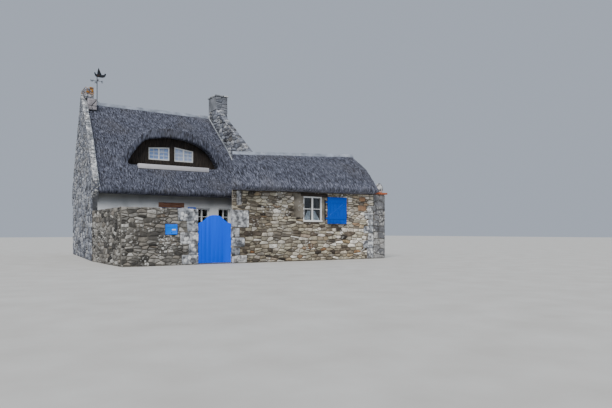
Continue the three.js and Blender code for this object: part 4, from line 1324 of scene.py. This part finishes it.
def scatter_nodes(tuft, seed):
    tree = bpy.data.node_groups.new("scatter tufts", "GeometryNodeTree")
    for direction in ("INPUT", "OUTPUT"):
        tree.interface.new_socket(name="Geometry", in_out=direction, socket_type="NodeSocketGeometry")
    skin = tree.nodes.new("NodeGroupInput").outputs[0]
    upward = coordinate(tree, add(tree, "GeometryNodeInputNormal").outputs[0], "Z")
    spread = add(
        tree,
        "GeometryNodeDistributePointsOnFaces",
        Mesh=skin,
        Selection=calculated(tree, "GREATER_THAN", upward, FACES_UP),
        Density=TUFTS_PER_SQUARE_METRE,
        Seed=seed,
    ).outputs
    downhill = add(
        tree,
        "FunctionNodeAlignRotationToVector",
        {"axis": "Y", "pivot_axis": "Z"},
        Rotation=spread["Rotation"],
        Vector=(0, 0, -1),
    )
    turn = add(
        tree,
        "FunctionNodeRotateRotation",
        {"rotation_space": "LOCAL"},
        Rotation=downhill.outputs[0],
        Rotate_By=drawn_vectors(tree, (-0.06, 0, -0.09), (0.04, 0, 0.09), 0),
    )
    place = add(
        tree,
        "GeometryNodeInstanceOnPoints",
        Points=spread["Points"],
        Instance=add(tree, "GeometryNodeObjectInfo", Object=tuft).outputs["Geometry"],
        Rotation=turn.outputs[0],
        Scale=drawn_vectors(tree, (0.6, 0.7, 0.6), (1.3, 1.3, 1.2), seed + 1),
    )
    tone = add(tree, "FunctionNodeRandomValue", {"data_type": "FLOAT"}, Seed=seed + 2)
    store = add(
        tree,
        "GeometryNodeStoreNamedAttribute",
        {"data_type": "FLOAT", "domain": "INSTANCE"},
        Geometry=place.outputs[0],
        Name="tone",
        Value=tone.outputs[1],
    )
    real = add(tree, "GeometryNodeRealizeInstances", Geometry=store.outputs[0])
    put(tree, tree.nodes.new("NodeGroupOutput").inputs[0], real.outputs[0])
    return tree


def near_box(point, low, high, room):
    return all(a - room < c < b + room for c, a, b in zip(point, low, high))


def scatter(skin, node, tuft, seed):
    carrier = bpy.data.objects.new("carrier", skin.data)
    bpy.context.scene.collection.objects.link(carrier)
    carrier.modifiers.new("scatter", "NODES").node_group = scatter_nodes(tuft, seed)
    made = as_built(carrier)
    made.verts.ensure_lookup_table()
    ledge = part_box("dormer_ledge")
    each = len(tuft.data.vertices)
    lost = []
    for start in range(0, len(made.verts), each):
        points = made.verts[start : start + each]
        if any(near_box(v.co, *ledge, LEDGE_ROOM) for v in points):
            lost.extend(points)
    bmesh.ops.delete(made, geom=lost, context="VERTS")
    low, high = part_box(node)
    for vert in made.verts:
        vert.co = held_in(vert.co, low, high)
    finished(node + "_tufts", made, skin.data.materials[:], smooth=180)


TUFTS_PER_SQUARE_METRE = 350
FACES_UP = 0.30  # the least upward part of a normal that carries tufts
LEDGE_ROOM = 0.01
tuft = reed_tuft()
for number, (node, skin) in enumerate(thatch_skins.items()):
    scatter(skin, node, tuft, 20 + number)
bpy.data.objects.remove(tuft)

# %% [markdown]
# ## Painted boards
# The gate, the shutters and the door are made of upright boards with a groove where two meet. A
# groove is cut into a copy of the plain leaf: three cuts side by side, and the middle one pushed in.
# The arrises are then rounded, and the rounded faces carry the attribute that wears the paint, which on the
# shutters and the door also places a light blue painted highlight.


# %% Cut the boards
def groove(made, at, depth, front, back):
    """An upright V groove at a place along X, on both faces of a leaf."""
    half = depth * 0.8
    for x in (at - half, at, at + half):
        cut(made, AXES[0] * x, AXES[0])
    for level, push in ((front, depth), (back, -depth)):
        for vert in made.verts:
            if abs(vert.co.x - at) < 1e-4 and abs(vert.co.y - level) < 1e-4:
                vert.co.y += push


def largest_face(made, toward):
    """The largest flat face that looks along Y, or against it where toward is -1."""
    return max((f for f in made.faces if f.normal.y * toward > 0.99), key=lambda f: f.calc_area())


def boarded(node, count, material, body="cottage", extra=None, depth=0.007):
    made = merged(node)
    plank = largest_face(made, -1)
    front = plank.verts[0].co.y
    back = largest_face(made, 1).verts[0].co.y
    x0, x1, _, _ = span(plank)
    for number in range(1, count):
        groove(made, x0 + (x1 - x0) * number / count, depth, front, back)
    round_edges(made, 0.004, segments=1, angle=40)
    if extra:
        extra(made, *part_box(node))
    finished(node + "_boards", made, [material], [node], body, smooth=35)


def brace_shutter(made, low, high):
    """The slanting brace between the two ledges, cut level at both ends."""
    brace = bmesh.new()
    bottom, top = low.z + 0.19, high.z - 0.19
    left, right = high.x - 0.80, high.x - 0.04
    length = math.hypot(right - left, top - bottom)
    cube(brace, (-length / 2, 0.006, -0.045), (length / 2, 0.019, 0.045))
    lean = Matrix.Rotation(-math.atan2(top - bottom, right - left), 4, "Y")
    bmesh.ops.transform(brace, matrix=lean, verts=brace.verts)
    bmesh.ops.translate(brace, verts=brace.verts, vec=((left + right) / 2, low.y, (bottom + top) / 2))
    for level, outward in ((bottom, -1), (top, 1)):
        end = cut(brace, (0, 0, level), (0, 0, outward), clear_outer=True)["geom_cut"]
        bmesh.ops.contextual_create(brace, geom=[g for g in end if isinstance(g, bmesh.types.BMEdge)])
    round_edges(brace, 0.003, segments=1)
    append(made, brace)


boarded("gate_leaf", 8, BLUE_BOARDS, "gate", depth=0.004)
boarded("wing_shutter", 6, SHUTTER_BLUE, "shutter", brace_shutter)
boarded("main_door", 6, SHUTTER_BLUE)
boarded("main_shutter", 2, SHUTTER_BLUE)
boarded("dormer_front", 26, DARK_TIMBER, depth=0.010)

# %% [markdown]
# ## Frames, lintels and other crisp pieces
# Planed wood and sawn beams are crisp, but no real edge is sharp. A copy of each plain solid gets a
# small round on its edges, which catches the light.

# %% Round the crisp pieces
def crisp(node, width, material):
    made = merged(node)
    round_edges(made, width, angle=40)
    finished(node + "_rounded", made, [material], [node], smooth=35)


WINDOWS = (
    "wing_window",
    "dormer_window_left",
    "dormer_window_right",
    "main_window_a",
    "main_window_b",
    "main_back_window",
)
for window in WINDOWS:
    crisp(window + "_frame", 0.004, WHITE_PAINT)
crisp("dormer_ledge", 0.005, LEDGE_PAINT)
crisp("main_door_lintel", 0.008, RED_TIMBER)
crisp("wing_lintel", 0.010, BEAM_TIMBER)
crisp("pier_tile", 0.008, TERRACOTTA)

# %% [markdown]
# ## Pieces that keep their solids
# Walls of render, floors, panes and thin iron are already the right shape. They only get a material.

# %% Give the plain pieces their materials
PLAIN = (
    (RENDER, ("main_front_wall", "main_back_wall")),
    (SLATE, ("main_ground_floor", "wing_floor")),
    (FLOOR_BOARDS, ("main_upper_floor",)),
    (IRON, ("vane_mast", "vane_boat", "gate_hinge_bar", "shutter_hinge_bar", "shutter_stop")),
    (SKY_GLASS, ("dormer_glass",)),
    (GLASS, ("wing_window_glass", "main_window_a_glass", "main_window_b_glass", "main_back_window_glass")),
)
for material, nodes in PLAIN:
    for node in nodes:
        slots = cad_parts[node].data.materials
        slots.clear()
        slots.append(material)
    print(material.name, "on", *nodes)

# %% [markdown]
# ## The boulder, the letter box and the vane's letters
# The boulder on the pier is a copy of its smooth solid, divided, and pushed in by noise of two sizes.
# The letter box is a tin box let into the wall. Its door is drawn in from the rim, a hinged flap
# closes the slot, and a plain label and a lock sit on the door. The vane's arms carry the four
# cardinal letters, which are the only letters on the cottage.


# %% Shape the boulder
BOULDER_TONE = 0.7


def rough_stone(node, material, depth):
    made = merged(node)
    bmesh.ops.triangulate(made, faces=made.faces)
    bmesh.ops.subdivide_edges(made, edges=made.edges, cuts=2, use_grid_fill=True)
    made.normal_update()
    for vert in made.verts:
        dent = abs(noise.noise(vert.co * 7.0)) + 0.45 * abs(noise.noise(vert.co * 19.0))
        vert.co -= vert.normal * depth * dent
    tone = face_values(made, "tone")
    for face in made.faces:
        face[tone] = BOULDER_TONE
    finished(node + "_rough", made, [material], [node], smooth=50)


rough_stone("pier_capstone", BOULDER, 0.05)

# %% Make the letter box
TIN, LABEL, LOCK = 0, 1, 2  # places in the box's list of materials
RIM = 0.014
DOOR_DEPTH = 0.005


def plate(made, low, high, width, index):
    """A thin plate with rounded arrises."""
    single = bmesh.new()
    cube(single, low, high)
    round_edges(single, width)
    give_material(single, index)
    append(made, single)


def rod(made, place, turn, segments, radius, length, index):
    matrix = Matrix.Translation(place) @ turn
    size = dict(segments=segments, radius1=radius, radius2=radius, depth=length)
    ends = bmesh.ops.create_cone(made, cap_ends=True, matrix=matrix, **size)["verts"]
    for face in {f for v in ends for f in v.link_faces}:
        face.material_index = index


def letter_box():
    made = merged("letter_box")
    low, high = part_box("letter_box")
    fronts = [f for f in made.faces if f.normal.y < -0.99 and f.verts[0].co.y < low.y + 0.001]
    bmesh.ops.inset_region(made, faces=fronts, thickness=RIM, use_even_offset=True)
    bmesh.ops.inset_region(made, faces=fronts, thickness=0.002, depth=-DOOR_DEPTH, use_even_offset=True)
    round_edges(made, 0.002, segments=1, angle=40)
    x0, x1, wide, tall = low.x, high.x, high.x - low.x, high.z - low.z
    door = low.y + DOOR_DEPTH
    flap_foot = (x0 + 0.03, door - 0.004, high.z - 0.085)
    plate(made, flap_foot, (x1 - 0.03, door + 0.002, high.z - 0.035), 0.0015, TIN)
    hinge = ((x0 + x1) / 2, door - 0.001, high.z - 0.034)
    rod(made, hinge, Matrix.Rotation(math.radians(90), 4, "Y"), 10, 0.0035, wide - 0.05, TIN)
    label_left = x0 + wide * 0.54
    label_foot = high.z - tall * 0.60
    label_end = (label_left + wide * 0.34, door + 0.002, label_foot + 0.036)
    plate(made, (label_left, door - 0.002, label_foot), label_end, 0.001, LABEL)
    rod(made, (x0 + wide * 0.5, door, low.z + 0.05), UPRIGHT, 16, 0.009, 0.008, LOCK)
    finished("letter_box_tin", made, [BLUE_METAL, WHITE_PAINT, IRON], ["letter_box"], smooth=35)


letter_box()

# %% Set the vane's letters on its arms
ARM_LEVEL = 6.79  # of the letters' middles, just under the boat's sweep
LETTER_HEIGHT = 0.085


def vane_letters():
    """The four letters, upright on the ends of the arms and turned to the street."""
    made = bmesh.new()
    low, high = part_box("vane_mast")
    middle = (low + high) / 2
    places = {
        "N": (middle.x, high.y),
        "E": (high.x, middle.y),
        "S": (middle.x, low.y),
        "W": (low.x, middle.y),
    }
    for letter, (x, y) in places.items():
        curve = bpy.data.curves.new("letter", "FONT")
        curve.body = letter
        curve.size = LETTER_HEIGHT * 1.4
        curve.extrude = 0.004
        curve.offset = 0.002
        curve.resolution_u = 3
        curve.align_x, curve.align_y = "CENTER", "CENTER"
        shape = bpy.data.objects.new("letter", curve)
        bpy.context.scene.collection.objects.link(shape)
        single = as_built(shape)
        bpy.data.curves.remove(curve)
        place = Matrix.Translation((x, y, ARM_LEVEL)) @ UPRIGHT
        bmesh.ops.transform(single, matrix=place, verts=single.verts)
        append(made, single)
    bmesh.ops.remove_doubles(made, verts=made.verts, dist=1e-5)
    bmesh.ops.recalc_face_normals(made, faces=made.faces)
    finished("vane_letters", made, [IRON], smooth=35)


vane_letters()

# %% [markdown]
# ## Curtains
# A gathered curtain keeps the width it was cut to. Where it hangs narrower, its pleats are deeper. The
# grid below is drawn to the curtain's outline row by row, and for each row a search finds the depth of
# pleat whose wavy line is as long as the cloth is wide.


# %% Hang the curtains
STEPS_IN_A_PLEAT = 16
HALVINGS = 20


def wave_length(wide, pleats, depth):
    """The length of a row of pleats, measured along the cloth."""
    steps = pleats * STEPS_IN_A_PLEAT
    total, before = 0.0, 0.0
    for number in range(1, steps + 1):
        here = depth * math.sin(2 * math.pi * pleats * number / steps)
        total += math.hypot(wide / steps, here - before)
        before = here
    return total


def pleat_depth(wide, pleats, cloth, most):
    """The depth, up to most, at which a row of pleats is as long as the cloth is wide."""
    low, high = 0.0, most
    for _ in range(HALVINGS):
        middle = (low + high) / 2
        low, high = (middle, high) if wave_length(wide, pleats, middle) < cloth else (low, middle)
    return low


def curtain(node, pleats, cloth, top_share=1.0, toward=0.0):
    """A curtain in the place of a plain one, of cloth that is so wide. Its top is top_share of its
    foot, and drawn to the left, 0, or to the right, 1. The head follows the plain one's outline."""
    low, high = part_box(node)
    wide, tall = high.x - low.x, high.z - low.z
    outline = BVHTree.FromBMesh(merged(node))
    middle = (low.y + high.y) / 2
    made = bmesh.new()
    bmesh.ops.create_grid(made, x_segments=pleats * 10, y_segments=10, size=0.5, matrix=UPRIGHT)
    most = (high.y - low.y) / 2 - 0.0005
    depths = {}
    for vert in made.verts:
        across, up = vert.co.x + 0.5, vert.co.z + 0.5
        share = 1 - (1 - top_share) * up
        row_wide = wide * share
        key = round(up, 4)
        if key not in depths:
            depths[key] = pleat_depth(row_wide, pleats, cloth, most)
        x = low.x + wide * (toward * (1 - share) + across * share)
        column_x = min(max(x, low.x + 0.001), high.x - 0.001)
        hit = outline.ray_cast(Vector((column_x, middle, high.z + 1)), Vector((0, 0, -1)))[0]
        head = hit.z if hit else high.z
        y = middle + depths[key] * math.sin(2 * math.pi * pleats * across)
        vert.co = (x, y, low.z + (head - low.z) * up)
    area = sum(f.calc_area() for f in made.faces)
    obj = finished(node + "_cloth", made, [CLOTH], [node], smooth=60)
    print(node, "cut", round(cloth, 3), "by", round(tall, 3), "m")


curtain("wing_curtain_left", 9, 0.34, 0.35, 1.0)
curtain("wing_curtain_right", 9, 0.34, 0.35, 0.0)
curtain("dormer_curtain", 16, 0.95)

# %% [markdown]
# ## Glazing bars
# The small panes are divided by slim bars. Each casement is a grid of bars between its stiles, joined
# to one piece for each window.


# %% Add the glazing bars
BAR_DEPTH = 0.03
STILE = 0.045  # the width of a frame's sides and of its middle post
WING_SASH = 0.03  # from the back of the wing's frame


def two_lights(low, high, top, foot):
    """The glazed lights on both sides of the middle post."""
    middle = (low.x + high.x) / 2
    z0, z1 = low.z + STILE + foot, high.z - STILE - top
    return [(low.x + STILE, middle - STILE / 2, z0, z1), (middle + STILE / 2, high.x - STILE, z0, z1)]


def glazing(name, frame_node, columns, rows, thick=0.022, top=0.0, foot=0.0):
    """Bars in the two lights of a window, in the plane of its frame. Top and foot are what the frame
    has there beside its rails. The wing's frame has a sill in front, so its sash is not in the middle."""
    low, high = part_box(frame_node)
    middle = high.y - WING_SASH if frame_node == "wing_window_frame" else (low.y + high.y) / 2
    near, far = middle - BAR_DEPTH / 2, middle + BAR_DEPTH / 2
    made = bmesh.new()
    for x0, x1, z0, z1 in two_lights(low, high, top, foot):
        for number in range(1, columns):
            at = x0 + (x1 - x0) * number / columns
            cube(made, (at - thick / 2, near, z0), (at + thick / 2, far, z1))
        for number in range(1, rows):
            at = z0 + (z1 - z0) * number / rows
            cube(made, (x0, near + 0.001, at - thick / 2), (x1, far - 0.001, at + thick / 2))
    round_edges(made, 0.003, segments=1)
    finished(name, made, [WHITE_PAINT], smooth=35)


glazing("wing_window_bars", "wing_window_frame", 1, 2, foot=0.015)
glazing("dormer_left_bars", "dormer_window_left_frame", 2, 3, 0.014, top=0.03)
glazing("dormer_right_bars", "dormer_window_right_frame", 2, 3, 0.014, top=0.06)
glazing("main_a_bars", "main_window_a_frame", 1, 3)
glazing("main_b_bars", "main_window_b_frame", 1, 3)
glazing("main_back_bars", "main_back_window_frame", 2, 3)
